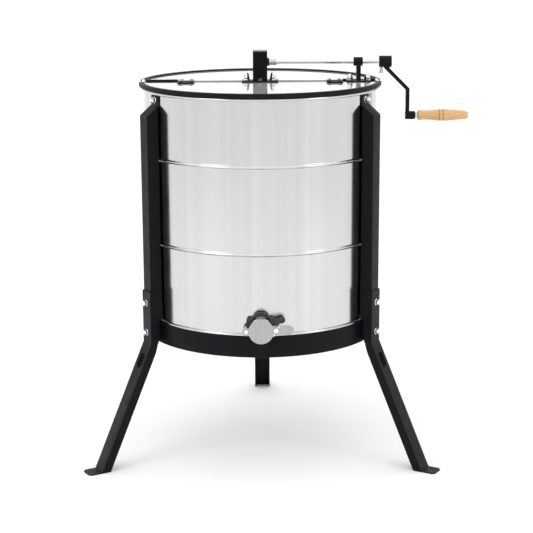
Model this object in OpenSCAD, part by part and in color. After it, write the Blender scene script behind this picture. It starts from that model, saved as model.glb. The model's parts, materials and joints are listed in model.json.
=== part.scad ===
// Honey extractor: a steel drum on three splayed legs, with a four frame tangential
// basket that a hand crank turns through a bevel gear pair.
// The drum axis is +Z, the feet stand on Z = 0, the gate looks along -Y and the crank is on +X.

/* [Drum] */
// Outer radius of the drum wall
drum_r = 280; // [270:1:283]
// Thickness of the drum wall and floor
sheet_t = 1.2; // [1:0.1:1.5]
// Height of the drum wall's lower edge above the ground
wall_low = 330; // [320:1:340]
// Height of the top of the rolled rim above the ground
rim_top = 901; // [895:1:905]
// Radius of the rolled rim bead
rim_bead_r = 4; // [3:0.1:4.5]
// Radius of the hem bead that rests on the base ring
hem_bead_r = 3; // [2:0.1:3]
// Height of the lower swaged rib
rib_low_z = 541.5; // [500:0.5:600]
// Height of the upper swaged rib
rib_high_z = 743.5; // [700:0.5:800]
// How far a rib stands out of the wall
rib_out = 3.6; // [2:0.1:5]
// Height of the floor at the drum wall
floor_edge_z = 352; // [350:0.5:353]
// Height of the floor's raised centre
floor_centre_z = 385; // [375:1:385]

/* [Base ring and legs] */
// Outer radius of the black base ring
ring_r = 286; // [285:0.5:287]
// Lower edge of the base ring
ring_low = 300; // [295:1:305]
// Upper edge of the base ring
ring_high = 350; // [345:0.5:350]
// Angle between a front leg and the front of the drum
leg_spread = 60; // [50:1:65]
// Outer width of the leg post channel
post_w = 35.6; // [30:0.2:35.6]
// Distance of the post's web from the drum axis
post_r = 313; // [310:0.5:313]
// Depth of the post's flanges
post_d = 29.2; // [28:0.1:29.2]
// Outer width of the foot channel, which wraps the post
foot_w = 41; // [41:0.5:45]
// Distance of the foot channel's web from the drum axis
foot_r = 316; // [316:0.5:318]
// Depth of the foot channel's flanges below the drum
foot_d = 20; // [16:0.5:21]
// Thickness of the leg channels
leg_t = 2.5; // [2:0.1:2.5]
// Angle of the splayed leg from the vertical
splay = 24.5; // [18:0.5:28]
// Distance of the foot bolt holes from the drum axis
foot_hole_r = 468; // [464:0.5:470]

/* [Crossbar and mast] */
// Thickness of the flat crossbar
bar_t = 4; // [3:0.5:4]
// Depth of the crossbar, front to back
bar_d = 44; // [40:1:44]
// Half length of the crossbar
bar_half = 286; // [286:0.5:290]
// Width of the gear mast
mast_w = 34.6; // [34:0.2:36]
// Height of the top of the gear mast
mast_top = 981; // [978:1:990]
// Width of the gear mast's base plate
mast_base_w = 87; // [84:1:90]

/* [Crank] */
// Height of the crank shaft's axis
crank_z = 955; // [954:0.5:956]
// Radius of the crank shaft
shaft_r = 5; // [4.5:0.1:5]
// Throw of the crank, from the shaft's axis to the grip's axis
crank_throw = 130; // [120:1:140]
// Position of the shaft bracket along the crossbar
bracket_x = 236.6; // [230:0.2:237]
// Radius of the wooden grip at its widest
grip_max_r = 14; // [13:0.5:16]
// Length of the wooden grip
grip_len = 122; // [110:1:130]

/* [Bevel gears] */
// Teeth of the gear on the crank shaft
gear_teeth = 26; // [26:1:26]
// Teeth of the pinion on the basket shaft
pinion_teeth = 13; // [13:1:13]
// Module of the gear pair
gear_m = 1.25; // [1.2:0.05:1.25]

/* [Basket] */
// Distance of the outer rods from the basket's axis
basket_out = 203; // [195:1:206]
// Distance of the inner guard rods from the basket's axis
basket_in = 150; // [145:1:152]
// Half width of a frame pocket
pocket_half = 125; // [122:1:127]
// Height of the lower loops of rod
basket_low = 394; // [390:1:398]
// Height of the upper loops of rod
basket_high = 876; // [860:1:876]

/* [Lid] */
// Thickness of the clear sheets
lid_t = 3; // [2.5:0.1:3.2]
// Outer radius of the edge trim
trim_r = 291.5; // [290:0.5:294]
// Lower edge of the trim
trim_low = 901.4; // [901.4:0.1:902]
// Height of the trim
trim_h = 10; // [9:0.5:11]

/* [Honey gate] */
// Height of the gate's axis
gate_z = 374; // [374:0.5:376]
// Outer radius of the gate body
gate_r = 27; // [26:0.5:27]
// Radius of the outlet bore
outlet_r = 20; // [18:0.5:20]
// Radius of the gate blade
blade_r = 28.5; // [28:0.5:31]

/* [Hidden] */
$fn = 96;

// Gaps: a close one between touching pieces, and the radial play of a running fit.
gap = 0.2;
play = 0.05;
eps = 0.01;
tall = 1200;

STEEL = [0.78, 0.79, 0.80];
BRIGHT = [0.86, 0.87, 0.88];
BLACK = [0.08, 0.08, 0.09];
DARK = [0.22, 0.23, 0.25];
CLEAR = [0.86, 0.92, 0.94, 0.35];
BEECH = [0.80, 0.58, 0.34];

// Drum
wall_top = rim_top - rim_bead_r;
rib_half = 5;
floor_flat_r = 40;

// Legs: the left and right front legs and the rear leg
LEG_ANGLES = [-90 - leg_spread, -90 + leg_spread, 90];
post_low = 300;
shoulder_z = 846;
tab_low = 870;
tab_high = 892;
tab_bolt_z = 881;
foot_high = 428;
knee_z = 301.3;
inner_knee_z = 294;
notch_r = 294;
notch_z = 360;
plate_t = 3;
plate_end_r = 485;
LEG_BOLT_Z = [399, 327];
bolt_r = 3.9;
bolt_hole_r = 4.2;
bolt_af = 13;

// Crossbar, mast and shaft bracket
bar_low = rim_top;
bar_high = bar_low + bar_t;
end_nut_x = 281;
end_stud_r = 2.9;
mast_plate_high = 911;
cavity_left = -13.5;
cavity_right = 14.7;
cavity_half_y = 18.4;
cavity_top = 976;
MAST_NUT_X = [-33, 31];
BRACKET_NUT_X = [bracket_x - 20.6, bracket_x + 21.4];
bracket_plate_high = 910.5;

// Crank
shaft_left = -16.2;
hub_x = [286, 315.6];
hub_r = 13.5;
thumb_x = 291.5;
grip_z = crank_z - crank_throw;
boss_x = [350.5, 374.4];
boss_r = 10;
arm_half = 4.5;
arm_root_x = [296.8, 311.5];
arm_bend_x = 355.5;
arm_bend_z = crank_z - 67;
axle_r = 4;
grip_x = 380.3;

// Basket
post_rod_r = 4;
loop_rod_r = 3.5;
guard_rod_r = 2.5;
arm_rod_r = 3.2;
hub_rod_r = 15;
basket_shaft_r = 10;
journal_r = 6;
pinion_shaft_r = 3.2;
screen_t = 1.6;
GUARD_STEPS = [-80, 0, 80];

// Lid and hinges
lid_low = trim_low + 3.5;
lid_high = lid_low + lid_t;
slot_r = trim_r - 2.7;
trim_in_r = trim_r - 12;
flap_edge_y = -26;
rear_edge_y = 25;
pin_y = -27;
pin_z = 908;
pin_r = 1.6;
knuckle_r = 4;
HINGE_X = [[-196.7, -157.9], [159.5, 197.3]];
STRIP_X = [[-277, -199.5], [199.5, 277]];
STRIP_SCREW_X = [-262, -210, 210, 262];
strip_screw_y = 28.5;

// Gate: distances along -Y from the drum axis
spigot_r = 19;
spigot_in = 268;
body_back = 292;
body_front = 327;
blade_back = body_front + 0.4;
blade_t = 3;
yoke_back = 283.5;
yoke_front = 291.9;
pivot = [-34, 0.5];
stud = [34.5, 5];
stud_r = 3;
slot_arc_r = norm(stud - pivot);

// ---------------------------------------------------------------- helpers

// Reverses a list.
function reversed(v) = [for (i = [len(v) - 1 : -1 : 0]) v[i]];

// Points of a quadratic bend from a to c, pulled towards b.
function bend(a, b, c, n = 8) =
    [for (i = [0:n]) let (t = i / n) a * (1 - t) * (1 - t) + b * 2 * t * (1 - t) + c * t * t];

// Smooth change of value between two stations, level at both ends.
function eased(a, b, t) = a + (b - a) * (1 - cos(180 * t)) / 2;

// Round rod between two points.
module rod(a, b, r, sides = 32) {
    d = b - a;
    translate(a)
        rotate([0, acos(d[2] / norm(d)), atan2(d[1], d[0])])
            cylinder(h = norm(d), r = r, $fn = sides);
}

// Turns children into the frame of leg i, where +X points away from the drum axis.
module at_leg(i) rotate([0, 0, LEG_ANGLES[i]]) children();

// Turns children, drawn along +Z, to point along +X.
module along_x() rotate([0, 90, 0]) children();

// Turns a flat shape, drawn in X and Z terms, into a plate between two depths along -Y.
module gate_plate(near, far) translate([0, -near, gate_z]) rotate([90, 0, 0])
    linear_extrude(far - near) children();

// Hexagonal prism with a given size across its flats.
module hexagon(af, h) cylinder(h = h, r = af / sqrt(3), $fn = 6);

// Domed cap nut that stands on Z = 0, with its washer.
module cap_nut(af, washer_h, neck_h) {
    cylinder(h = washer_h, r = af * 0.62, $fn = 48);
    translate([0, 0, washer_h]) {
        hexagon(af, af / 2);
        cylinder(h = af / 2 + neck_h, r = af * 0.46, $fn = 48);
        translate([0, 0, af / 2 + neck_h]) sphere(r = af * 0.46, $fn = 48);
    }
}

// Cap nut on a bolt that clamps a stack of plates below Z = 0.
module clamped_cap_nut(af, washer_h, neck_h, r, grip, head_h) {
    cap_nut(af, washer_h, neck_h);
    translate([0, 0, -grip - head_h]) {
        cylinder(h = grip + head_h + eps, r = r, $fn = 48);
        cylinder(h = head_h, r = af * 0.48, $fn = 48);
    }
}

// Pan head screw: the head stands on Z = 0 and the shank reaches down.
module pan_screw(head_r, head_h, r, down) {
    cylinder(h = head_h, r1 = head_r, r2 = head_r * 0.72, $fn = 48);
    translate([0, 0, -down]) cylinder(h = down + eps, r = r, $fn = 48);
}

// Square tube along Z, from its outer corner to its far corner.
module tube_section(low, high, t) difference() {
    translate(low) square(high - low);
    translate(low + [t, t]) square(high - low - [2 * t, 2 * t]);
}

// ---------------------------------------------------------------- drum

// Outward swell of the wall at height z, from the two ribs.
function rib_swell(z, rib_z) = rib_out * max(0, 1 - pow((z - rib_z) / rib_half, 2));
function wall_swell(z) = rib_swell(z, rib_low_z) + rib_swell(z, rib_high_z);
function rib_steps(rib_z) = [for (i = [-4:4]) rib_z + rib_half * i / 4];

module drum_wall() color(BRIGHT) difference() {
    steps = concat([wall_low], rib_steps(rib_low_z), rib_steps(rib_high_z), [wall_top]);
    rotate_extrude() {
        polygon(concat(
            [for (z = steps) [drum_r + wall_swell(z), z]],
            [for (z = reversed(steps)) [drum_r - sheet_t + wall_swell(z), z]]));
        translate([drum_r - sheet_t + rim_bead_r, rim_top - rim_bead_r]) circle(r = rim_bead_r);
        translate([drum_r + 2.2, ring_high + hem_bead_r + gap]) circle(r = hem_bead_r);
    }
    translate([0, -drum_r, gate_z]) rotate([90, 0, 0]) cylinder(h = 30, r = spigot_r + gap, center = true);
    for (i = [0:2]) at_leg(i) translate([drum_r, 0, tab_bolt_z]) along_x()
        cylinder(h = 20, r = bolt_hole_r, center = true);
}

module drum_floor() color(STEEL) rotate_extrude() {
    edge_r = drum_r - sheet_t - gap;
    polygon([
        [0, floor_centre_z], [floor_flat_r, floor_centre_z], [edge_r, floor_edge_z],
        [edge_r, floor_edge_z - sheet_t], [floor_flat_r, floor_centre_z - sheet_t],
        [0, floor_centre_z - sheet_t]]);
}

// ---------------------------------------------------------------- stand

module base_ring() color(BLACK) translate([0, 0, ring_low]) difference() {
    cylinder(h = ring_high - ring_low, r = ring_r);
    translate([0, 0, -1]) cylinder(h = ring_high - ring_low + 2, r = ring_r - 3);
}

// Short tubes that carry the ring between the legs.
module ring_brackets() color(BLACK) for (i = [0:2]) at_leg(i) difference() {
    translate([0, 0, ring_low + 5]) linear_extrude(ring_high - ring_low - 10)
        tube_section([ring_r + gap, -14], [post_r - leg_t - gap, 14], 2.5);
    translate([post_r - 10, 0, LEG_BOLT_Z[1]]) along_x() cylinder(h = 12, r = bolt_hole_r);
}

module leg_post(i) color(BLACK) at_leg(i) difference() {
    half = post_w / 2;
    free_r = post_r - post_d;
    tab_r = drum_r + 0.3;
    slope = (tab_low - shoulder_z) / (post_r - tab_r - leg_t);
    union() {
        rotate([90, 0, 0]) linear_extrude(post_w, center = true) polygon([
            [post_r, post_low], [post_r, shoulder_z], [tab_r + leg_t, tab_low],
            [tab_r + leg_t, tab_high], [tab_r, tab_high], [tab_r, tab_low - leg_t / 2],
            [post_r - leg_t, shoulder_z - leg_t / 2], [post_r - leg_t, post_low]]);
        for (side = [-1, 1]) translate([0, side * (half - leg_t / 2), 0])
            rotate([90, 0, 0]) linear_extrude(leg_t, center = true) polygon([
                [notch_r, post_low], [post_r, post_low], [post_r, shoulder_z],
                [free_r, shoulder_z + slope * post_d], [free_r, notch_z], [notch_r, notch_z - 6]]);
    }
    for (z = LEG_BOLT_Z) translate([post_r, 0, z]) along_x()
        cylinder(h = 20, r = bolt_hole_r, center = true);
    translate([tab_r, 0, tab_bolt_z]) along_x() cylinder(h = 20, r = bolt_hole_r, center = true);
}

// Foot channel: it wraps the post, bends outwards and ends in a flat plate.
module leg_foot(i) color(BLACK) at_leg(i) difference() {
    half = foot_w / 2;
    free_r = foot_r - foot_d;
    upper_r = post_r - post_d + 0.5;
    reach = tan(splay);
    web_in = foot_r - leg_t;
    web_in_knee = knee_z - leg_t * tan(splay / 2);
    union() {
        rotate([90, 0, 0]) linear_extrude(foot_w, center = true) polygon([
            [foot_r, foot_high], [foot_r, knee_z], [foot_r + (knee_z - plate_t) * reach, plate_t],
            [plate_end_r, plate_t], [plate_end_r, 0], [web_in + web_in_knee * reach, 0],
            [web_in, web_in_knee], [web_in, foot_high]]);
        for (side = [-1, 1]) translate([0, side * (half - leg_t / 2), 0])
            rotate([90, 0, 0]) linear_extrude(leg_t, center = true) polygon(concat(
                [[foot_r, foot_high], [foot_r, knee_z], [foot_r + knee_z * reach, 0],
                    [free_r + inner_knee_z * reach, 0]],
                bend([free_r + 24 * reach, inner_knee_z - 24], [free_r, inner_knee_z],
                    [free_r, inner_knee_z + 26]),
                [[free_r, notch_z - 6], [upper_r, notch_z], [upper_r, foot_high]]));
    }
    for (z = LEG_BOLT_Z) translate([foot_r, 0, z]) along_x()
        cylinder(h = 20, r = bolt_hole_r, center = true);
    translate([foot_r + 28 * sin(splay), 0, knee_z - 28 * cos(splay)]) rotate([0, 90 - splay, 0]) {
        translate([0, -11, -8]) cube([26, 22, 16]);
        translate([26, 0, 0]) cylinder(h = 16, r = 11, center = true);
    }
    translate([foot_hole_r, 0, -1]) cylinder(h = plate_t + 2, r = 4.5);
    for (side = [-1, 1]) translate([plate_end_r, side * half, 0]) rotate([0, 0, 45])
        cube([9, 9, 20], center = true);
}

// Bolts through the foot channel, the post and the bracket: cap nuts outside, heads inside.
module leg_bolts() color(BRIGHT) for (i = [0:2]) at_leg(i) for (k = [0:1]) {
    head_r = post_r - leg_t - gap - (k == 1 ? 2.7 : 0);
    translate([foot_r + gap / 2, 0, LEG_BOLT_Z[k]]) along_x() {
        cap_nut(bolt_af, 1.4, 0);
        translate([0, 0, -15]) cylinder(h = 15 + eps, r = bolt_r, $fn = 48);
    }
    translate([head_r - 5.3, 0, LEG_BOLT_Z[k]]) along_x() hexagon(bolt_af, 5.3);
}

// Cap nuts that hold each post's tab to the drum, with round heads inside the wall.
module leg_top_nuts() color(BRIGHT) for (i = [0:2]) at_leg(i)
    translate([drum_r + leg_t + 0.4, 0, tab_bolt_z]) along_x()
        clamped_cap_nut(bolt_af, 1.2, 0, bolt_r, leg_t + sheet_t + 1.5, 3);

// ---------------------------------------------------------------- crossbar and mast

module crossbar() color(STEEL) difference() {
    translate([-bar_half, -bar_d / 2, bar_low]) cube([2 * bar_half, bar_d, bar_t]);
    for (x = concat(MAST_NUT_X, BRACKET_NUT_X)) translate([x, 0, bar_low - 1])
        cylinder(h = bar_t + 2, r = bolt_hole_r);
    for (side = [-1, 1]) translate([side * end_nut_x, 0, bar_low - 1])
        cylinder(h = bar_t + 2, r = end_stud_r + gap);
    for (x = [-18.5, 18.5]) translate([x, 0, bar_low - 1]) cylinder(h = bar_t + 2, r = 2.2);
    for (h = HINGE_X) for (x = [h[0] + 6.7, h[1] - 6.7]) translate([x, 8, bar_low - 1])
        cylinder(h = bar_t + 2, r = 2.7);
    translate([0, 0, bar_low - 1]) cylinder(h = bar_t + 2, r = journal_r + 0.6);
}

// Studs on the rim, with cap nuts that clamp the crossbar's ends.
module crossbar_end_nuts() color(BRIGHT) for (side = [-1, 1])
    translate([side * end_nut_x, 0, bar_high]) {
        cap_nut(9.5, 0.8, 0.3);
        translate([0, 0, -bar_t]) cylinder(h = bar_t + eps, r = end_stud_r, $fn = 48);
    }

// Channel strips that hold the rear panel's straight edge to the crossbar.
module crossbar_seal_strips() color(BLACK) difference() {
    y0 = bar_d / 2 + 0.1;
    for (s = STRIP_X) translate([s[0], 0, 0]) rotate([90, 0, 90]) linear_extrude(s[1] - s[0])
        polygon([
            [y0, trim_low], [32, trim_low], [32, lid_low - gap], [rear_edge_y - gap, lid_low - gap],
            [rear_edge_y - gap, lid_high + gap], [32, lid_high + gap], [32, 910.5], [y0, 910.5]]);
    strip_screw_holes();
}

module strip_screw_holes() for (x = STRIP_SCREW_X) translate([x, strip_screw_y, bar_low - 1])
    cylinder(h = 20, r = 2.2);

module gear_mast() color(BLACK) difference() {
    union() {
        translate([-mast_base_w / 2, -bar_d / 2, bar_high + gap / 4])
            cube([mast_base_w, bar_d, mast_plate_high - bar_high - gap / 4]);
        translate([-mast_w / 2, -bar_d / 2, mast_plate_high - eps])
            cube([mast_w, bar_d, mast_top - mast_plate_high]);
    }
    translate([cavity_left, -cavity_half_y, mast_plate_high])
        cube([cavity_right - cavity_left, 2 * cavity_half_y, cavity_top - mast_plate_high]);
    translate([-11, -bar_d, mast_plate_high]) cube([22, bar_d, 7.5]);
    for (x = MAST_NUT_X) translate([x, 0, bar_high - 1]) cylinder(h = 10, r = bolt_hole_r);
    translate([0, 0, bar_high - 1]) cylinder(h = 10, r = journal_r + 0.6);
    translate([cavity_right - 1, 0, crank_z]) along_x() cylinder(h = 10, r = 7.1);
    translate([shaft_left - 0.4, 0, crank_z]) along_x() cylinder(h = 10, r = shaft_r + play);
    translate([1, 0, cavity_top - 1]) cylinder(h = 20, r = 3.1);
}

module mast_top_screw() color(STEEL) translate([1, 0, mast_top + 0.1])
    pan_screw(4.8, 6.5, 2.9, mast_top - cavity_top - 1);

module shaft_bracket() color(BLACK) difference() {
    union() {
        translate([bracket_x - 28.6, -bar_d / 2, bar_high + gap / 4])
            cube([57, bar_d, bracket_plate_high - bar_high - gap / 4]);
        translate([bracket_x - 5.1, 0, 0]) rotate([90, 0, 90]) linear_extrude(10) polygon([
            [-16, bracket_plate_high - eps], [16, bracket_plate_high - eps],
            [9.5, crank_z - 3], [-9.5, crank_z - 3]]);
        translate([bracket_x - 12, 0, crank_z]) along_x() cylinder(h = 21.8, r = 10.5);
    }
    translate([bracket_x - 20, 0, crank_z]) along_x() cylinder(h = 40, r = shaft_r + play);
    for (x = BRACKET_NUT_X) translate([x, 0, bar_high - 1]) cylinder(h = 10, r = bolt_hole_r);
}

// Cap nuts on the mast's and the bracket's base plates, with their bolts.
module bridge_cap_nuts() color(BRIGHT) {
    for (x = MAST_NUT_X) translate([x, 0, mast_plate_high + 0.1])
        clamped_cap_nut(bolt_af, 3.6, 3.4, bolt_r, mast_plate_high - bar_low + 0.2, 4.5);
    for (x = BRACKET_NUT_X) translate([x, 0, bracket_plate_high + 0.1])
        clamped_cap_nut(bolt_af, 1.6, 1, bolt_r, bracket_plate_high - bar_low + 0.2, 4.5);
}

// ---------------------------------------------------------------- crank

// Flanged bush that carries the crank shaft in the mast's wall.
module crank_bush() color(BLACK) translate([0, 0, crank_z]) along_x() difference() {
    union() {
        translate([0, 0, mast_w / 2 + 0.1]) cylinder(h = 4, r = 10);
        translate([0, 0, cavity_right + 0.2]) cylinder(h = 5, r = 7);
    }
    cylinder(h = 40, r = shaft_r + play);
}

module shaft_collar() color(STEEL) translate([21.8, 0, crank_z]) along_x() difference() {
    cylinder(h = 17, r = 8);
    translate([0, 0, -1]) cylinder(h = 20, r = shaft_r + gap / 2);
    translate([-4, 0, 8.5]) rotate([0, -90, 0]) cylinder(h = 10, r = 2);
}

module crank_shaft() color(BRIGHT) translate([shaft_left, 0, crank_z]) along_x()
    cylinder(h = hub_x[1] - 0.6 - shaft_left, r = shaft_r);

// Bevel gears share one apex, where the two shaft axes cross.
cone_distance = gear_m * norm([gear_teeth, pinion_teeth]) / 2;
face_ratio = 0.67;
function on_cone(rho, cone, turn) = rho * [sin(cone) * cos(turn), sin(cone) * sin(turn), cos(cone)];

// One tooth: its section at the large end is scaled towards the apex at the small end.
module bevel_tooth(cone, turn) {
    tip = cone + atan(0.85 * gear_m / cone_distance);
    root = cone - atan(1.25 * gear_m / cone_distance);
    per_mm = 180 / (PI * cone_distance * sin(cone));
    section = [
        [root - 1.5, -0.95], [cone, -0.6], [tip, -0.24],
        [tip, 0.24], [cone, 0.6], [root - 1.5, 0.95]];
    large = [for (p = section) on_cone(cone_distance, p[0], turn + p[1] * gear_m * per_mm)];
    polyhedron(
        points = concat(large, large * face_ratio),
        faces = concat(
            [for (i = [1:4]) [0, i + 1, i]],
            [for (i = [1:4]) [6, i + 6, i + 7]],
            [for (i = [0:5]) let (j = (i + 1) % 6) [i, j + 6, i + 6]],
            [for (i = [0:5]) let (j = (i + 1) % 6) [i, j, j + 6]]));
}

// Toothed cone with its apex at the origin and its body along +Z.
module bevel_gear(teeth, cone, phase) {
    root = cone - atan(1.25 * gear_m / cone_distance);
    far = cone_distance * cos(root);
    translate([0, 0, far * face_ratio])
        cylinder(h = far * (1 - face_ratio), r1 = cone_distance * sin(root) * face_ratio,
            r2 = cone_distance * sin(root));
    for (i = [0 : teeth - 1]) bevel_tooth(cone, phase + 360 * i / teeth);
}

gear_cone = atan(gear_teeth / pinion_teeth);
pinion_cone = 90 - gear_cone;

module crank_gear() color(DARK) translate([0, 0, crank_z]) along_x() difference() {
    union() {
        bevel_gear(gear_teeth, gear_cone, 0);
        translate([0, 0, 9.4]) cylinder(h = 2.6, r1 = 15.4, r2 = 13.5);
        translate([0, 0, 11.9]) cylinder(h = 2.3, r = 9);
    }
    cylinder(h = 40, r = shaft_r + gap / 2);
}

module basket_pinion() color(DARK) translate([0, 0, crank_z]) rotate([180, 0, 0]) difference() {
    union() {
        bevel_gear(pinion_teeth, pinion_cone, 180 / pinion_teeth);
        translate([0, 0, 16.8]) cylinder(h = 0.5, r = 6.7);
        translate([0, 0, 17.2]) cylinder(h = 6.8, r = 8);
    }
    cylinder(h = 40, r = pinion_shaft_r + 0.1);
}

// Crank: a hub, a flat arm that runs out at 45 degrees and then straight down, and the grip's boss.
module crank_arm() color(BLACK) difference() {
    root_z = crank_z - hub_r + 2.5;
    inner = arm_bend_x + arm_bend_z - arm_half * sqrt(2);
    outer = arm_bend_x + arm_bend_z + arm_half * sqrt(2);
    left = arm_bend_x - arm_half;
    right = arm_bend_x + arm_half;
    union() {
        translate([hub_x[0], 0, crank_z]) along_x() cylinder(h = hub_x[1] - hub_x[0], r = hub_r);
        rotate([90, 0, 0]) linear_extrude(2 * arm_half, center = true) polygon([
            [arm_root_x[0], root_z], [arm_root_x[0], inner - arm_root_x[0]], [left, inner - left],
            [left, grip_z + 5], [right, grip_z + 5], [right, outer - right],
            [arm_root_x[1], outer - arm_root_x[1]], [arm_root_x[1], root_z]]);
        translate([boss_x[0], 0, grip_z]) along_x() {
            cylinder(h = boss_x[1] - boss_x[0] - 2, r = boss_r);
            translate([0, 0, boss_x[1] - boss_x[0] - 2]) cylinder(h = 2, r1 = boss_r, r2 = boss_r - 2);
        }
    }
    translate([hub_x[0] - 1, 0, crank_z]) along_x() cylinder(h = 40, r = shaft_r + 0.1);
    translate([thumb_x, 0, crank_z - 20]) cylinder(h = 20, r = 3 + play);
    translate([boss_x[0] - 1, 0, grip_z]) along_x() cylinder(h = 40, r = axle_r + 0.1);
}

// Wing screw that clamps the crank hub to its shaft.
module thumb_screw() color(STEEL) translate([thumb_x, 0, 0]) {
    translate([0, 0, 933]) cylinder(h = crank_z - shaft_r - 0.4 - 933, r = 3);
    translate([-5.2, -1.5, 926.5]) cube([10.4, 3, 11]);
}

module grip_axle() color(STEEL) translate([boss_x[0], 0, grip_z]) along_x() {
    cylinder(h = 149, r = axle_r);
    translate([0, 0, 148.6]) cylinder(h = 2.6, r1 = 5.4, r2 = 4.6);
}

module grip_washer() color(STEEL) translate([boss_x[1] + 0.1, 0, grip_z]) along_x() difference() {
    cylinder(h = 5.5, r = 7);
    translate([0, 0, -1]) cylinder(h = 8, r = axle_r + 0.1);
}

// Stations along the grip: distance from its near end and share of the widest radius
GRIP_SHAPE = [[0, 0.78], [3, 0.89], [17, 0.785], [60, 1], [108, 0.75], [118, 0.66], [122, 0.5]];

module wood_grip() color(BEECH) translate([grip_x, 0, grip_z]) along_x() difference() {
    stretch = grip_len / 122;
    rotate_extrude() polygon(concat(
        [[0, 0]],
        [for (k = [0 : len(GRIP_SHAPE) - 2], i = [0:5]) let (a = GRIP_SHAPE[k], b = GRIP_SHAPE[k + 1])
            [grip_max_r * eased(a[1], b[1], i / 6), stretch * (a[0] + (b[0] - a[0]) * i / 6)]],
        [[grip_max_r * 0.5, grip_len], [0, grip_len]]));
    translate([0, 0, -1]) cylinder(h = grip_len + 2, r = axle_r + play);
    translate([0, 0, grip_len - 4]) cylinder(h = 10, r = 6);
}

// ---------------------------------------------------------------- basket

module basket_shaft() color(STEEL) {
    shoulder = basket_high;
    translate([0, 0, 390]) cylinder(h = 16, r = 8);
    translate([0, 0, 404.2]) cylinder(h = shoulder - 404.2, r = basket_shaft_r);
    translate([0, 0, shoulder]) cylinder(h = 930.6 - shoulder, r = journal_r);
    translate([0, 0, 930]) cylinder(h = 14, r = pinion_shaft_r);
}

module shaft_lock_collar() color(STEEL) translate([0, 0, 919.5]) difference() {
    cylinder(h = 7, r = 10.5);
    translate([0, 0, -1]) cylinder(h = 9, r = journal_r + 0.1);
}

module race(low, h) translate([0, 0, low]) difference() {
    cylinder(h = h, r = 13);
    translate([0, 0, -1]) cylinder(h = h + 2, r = journal_r + 0.1);
}

module thrust_lower_race() color(STEEL) translate([0, 0, mast_plate_high + 0.05]) difference() {
    cylinder(h = 2, r = 13);
    translate([0, 0, -1]) cylinder(h = 4, r = journal_r + 0.6);
}

module thrust_balls() color(BRIGHT) for (i = [0:11]) rotate([0, 0, 15 + 30 * i])
    translate([9.9, 0, 915.1]) sphere(r = 1.95, $fn = 32);

module thrust_upper_race() color(STEEL) race(917.4, 2);

// Bell shaped housing under the crossbar: the basket shaft's upper journal runs in it.
module top_bearing_housing() color(DARK) difference() {
    top = bar_low - 0.1;
    union() {
        rotate_extrude() polygon(concat(
            [[0, 878], [17, 878], [19, 879.5], [19, 889]],
            bend([19, 889], [19, top - 2], [12, top - 1]),
            [[12, top], [0, top]]));
        for (x = [-18.5, 18.5]) translate([x, 0, 884]) {
            cylinder(h = top - 884, r = 5);
            translate([0, 0, -2.6]) cylinder(h = 2.61, r = 3.6);
            translate([0, 0, top - 884 - 1]) cylinder(h = 5, r = 2);
        }
    }
    translate([0, 0, 870]) cylinder(h = 40, r = journal_r + play);
}

module bottom_bearing_cup() color(DARK) translate([0, 0, floor_centre_z + 0.1]) difference() {
    union() {
        cylinder(h = 18.4, r = 15);
        cylinder(h = 3, r = 27);
    }
    translate([0, 0, 4.4]) cylinder(h = 20, r = 8 + play);
}

// Corners of an eight sided outline: four long sides at distance d with half length e.
function octagon(d, e) = [for (q = [0:3]) for (s = [-1, 1])
    [d * cos(90 * q) - s * e * sin(90 * q), d * sin(90 * q) + s * e * cos(90 * q)]];
LOOP = octagon(basket_out, pocket_half);

// Outer and inner loops of square bar, centred on height z.
module basket_loops(z) translate([0, 0, z - loop_rod_r]) linear_extrude(2 * loop_rod_r) {
    corner = loop_rod_r * (sqrt(2) - 1);
    difference() {
        polygon(octagon(basket_out + loop_rod_r, pocket_half + corner));
        polygon(octagon(basket_out - loop_rod_r, pocket_half - corner));
    }
    difference() {
        square(2 * (basket_in + loop_rod_r), center = true);
        square(2 * (basket_in - loop_rod_r), center = true);
    }
}

// Hub and four diagonal arms, which end at height z.
module spider(z, hub_low) {
    reach = (basket_out + pocket_half) / sqrt(2);
    difference() {
        translate([0, 0, hub_low]) cylinder(h = 16, r = hub_rod_r);
        translate([0, 0, hub_low - 5]) cylinder(h = 30, r = basket_shaft_r + 0.1);
    }
    for (q = [0:3]) rotate([0, 0, 45 + 90 * q])
        rod([basket_shaft_r + 2, 0, hub_low + 8], [reach, 0, z], arm_rod_r);
}

// The upper arms carry the upper loops, which are a piece of their own.
module basket_top_spider() color(STEEL)
    spider(basket_high - loop_rod_r - arm_rod_r - 0.1, basket_high - 18);
module basket_top_loops() color(STEEL) basket_loops(basket_high);

// The lower spider also has its loops and the ledge rods that the comb frames stand on.
module basket_bottom_spider() color(STEEL) {
    spider(basket_low, 405);
    basket_loops(basket_low);
    for (q = [0:3]) rotate([0, 0, 90 * q]) for (y = [-75, 75])
        translate([basket_in, y - 3, basket_low - 3]) cube([basket_out - basket_in, 6, 6]);
}

rod_low = basket_low + loop_rod_r + 0.1;
rod_high = basket_high - loop_rod_r - 0.1;

module basket_posts() color(STEEL) for (p = LOOP)
    rod([p[0], p[1], rod_low], [p[0], p[1], rod_high], post_rod_r);

module basket_guard_rods() color(STEEL) for (q = [0:3]) rotate([0, 0, 90 * q])
    for (y = GUARD_STEPS) rod([basket_in, y, rod_low], [basket_in, y, rod_high], guard_rod_r);

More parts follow.
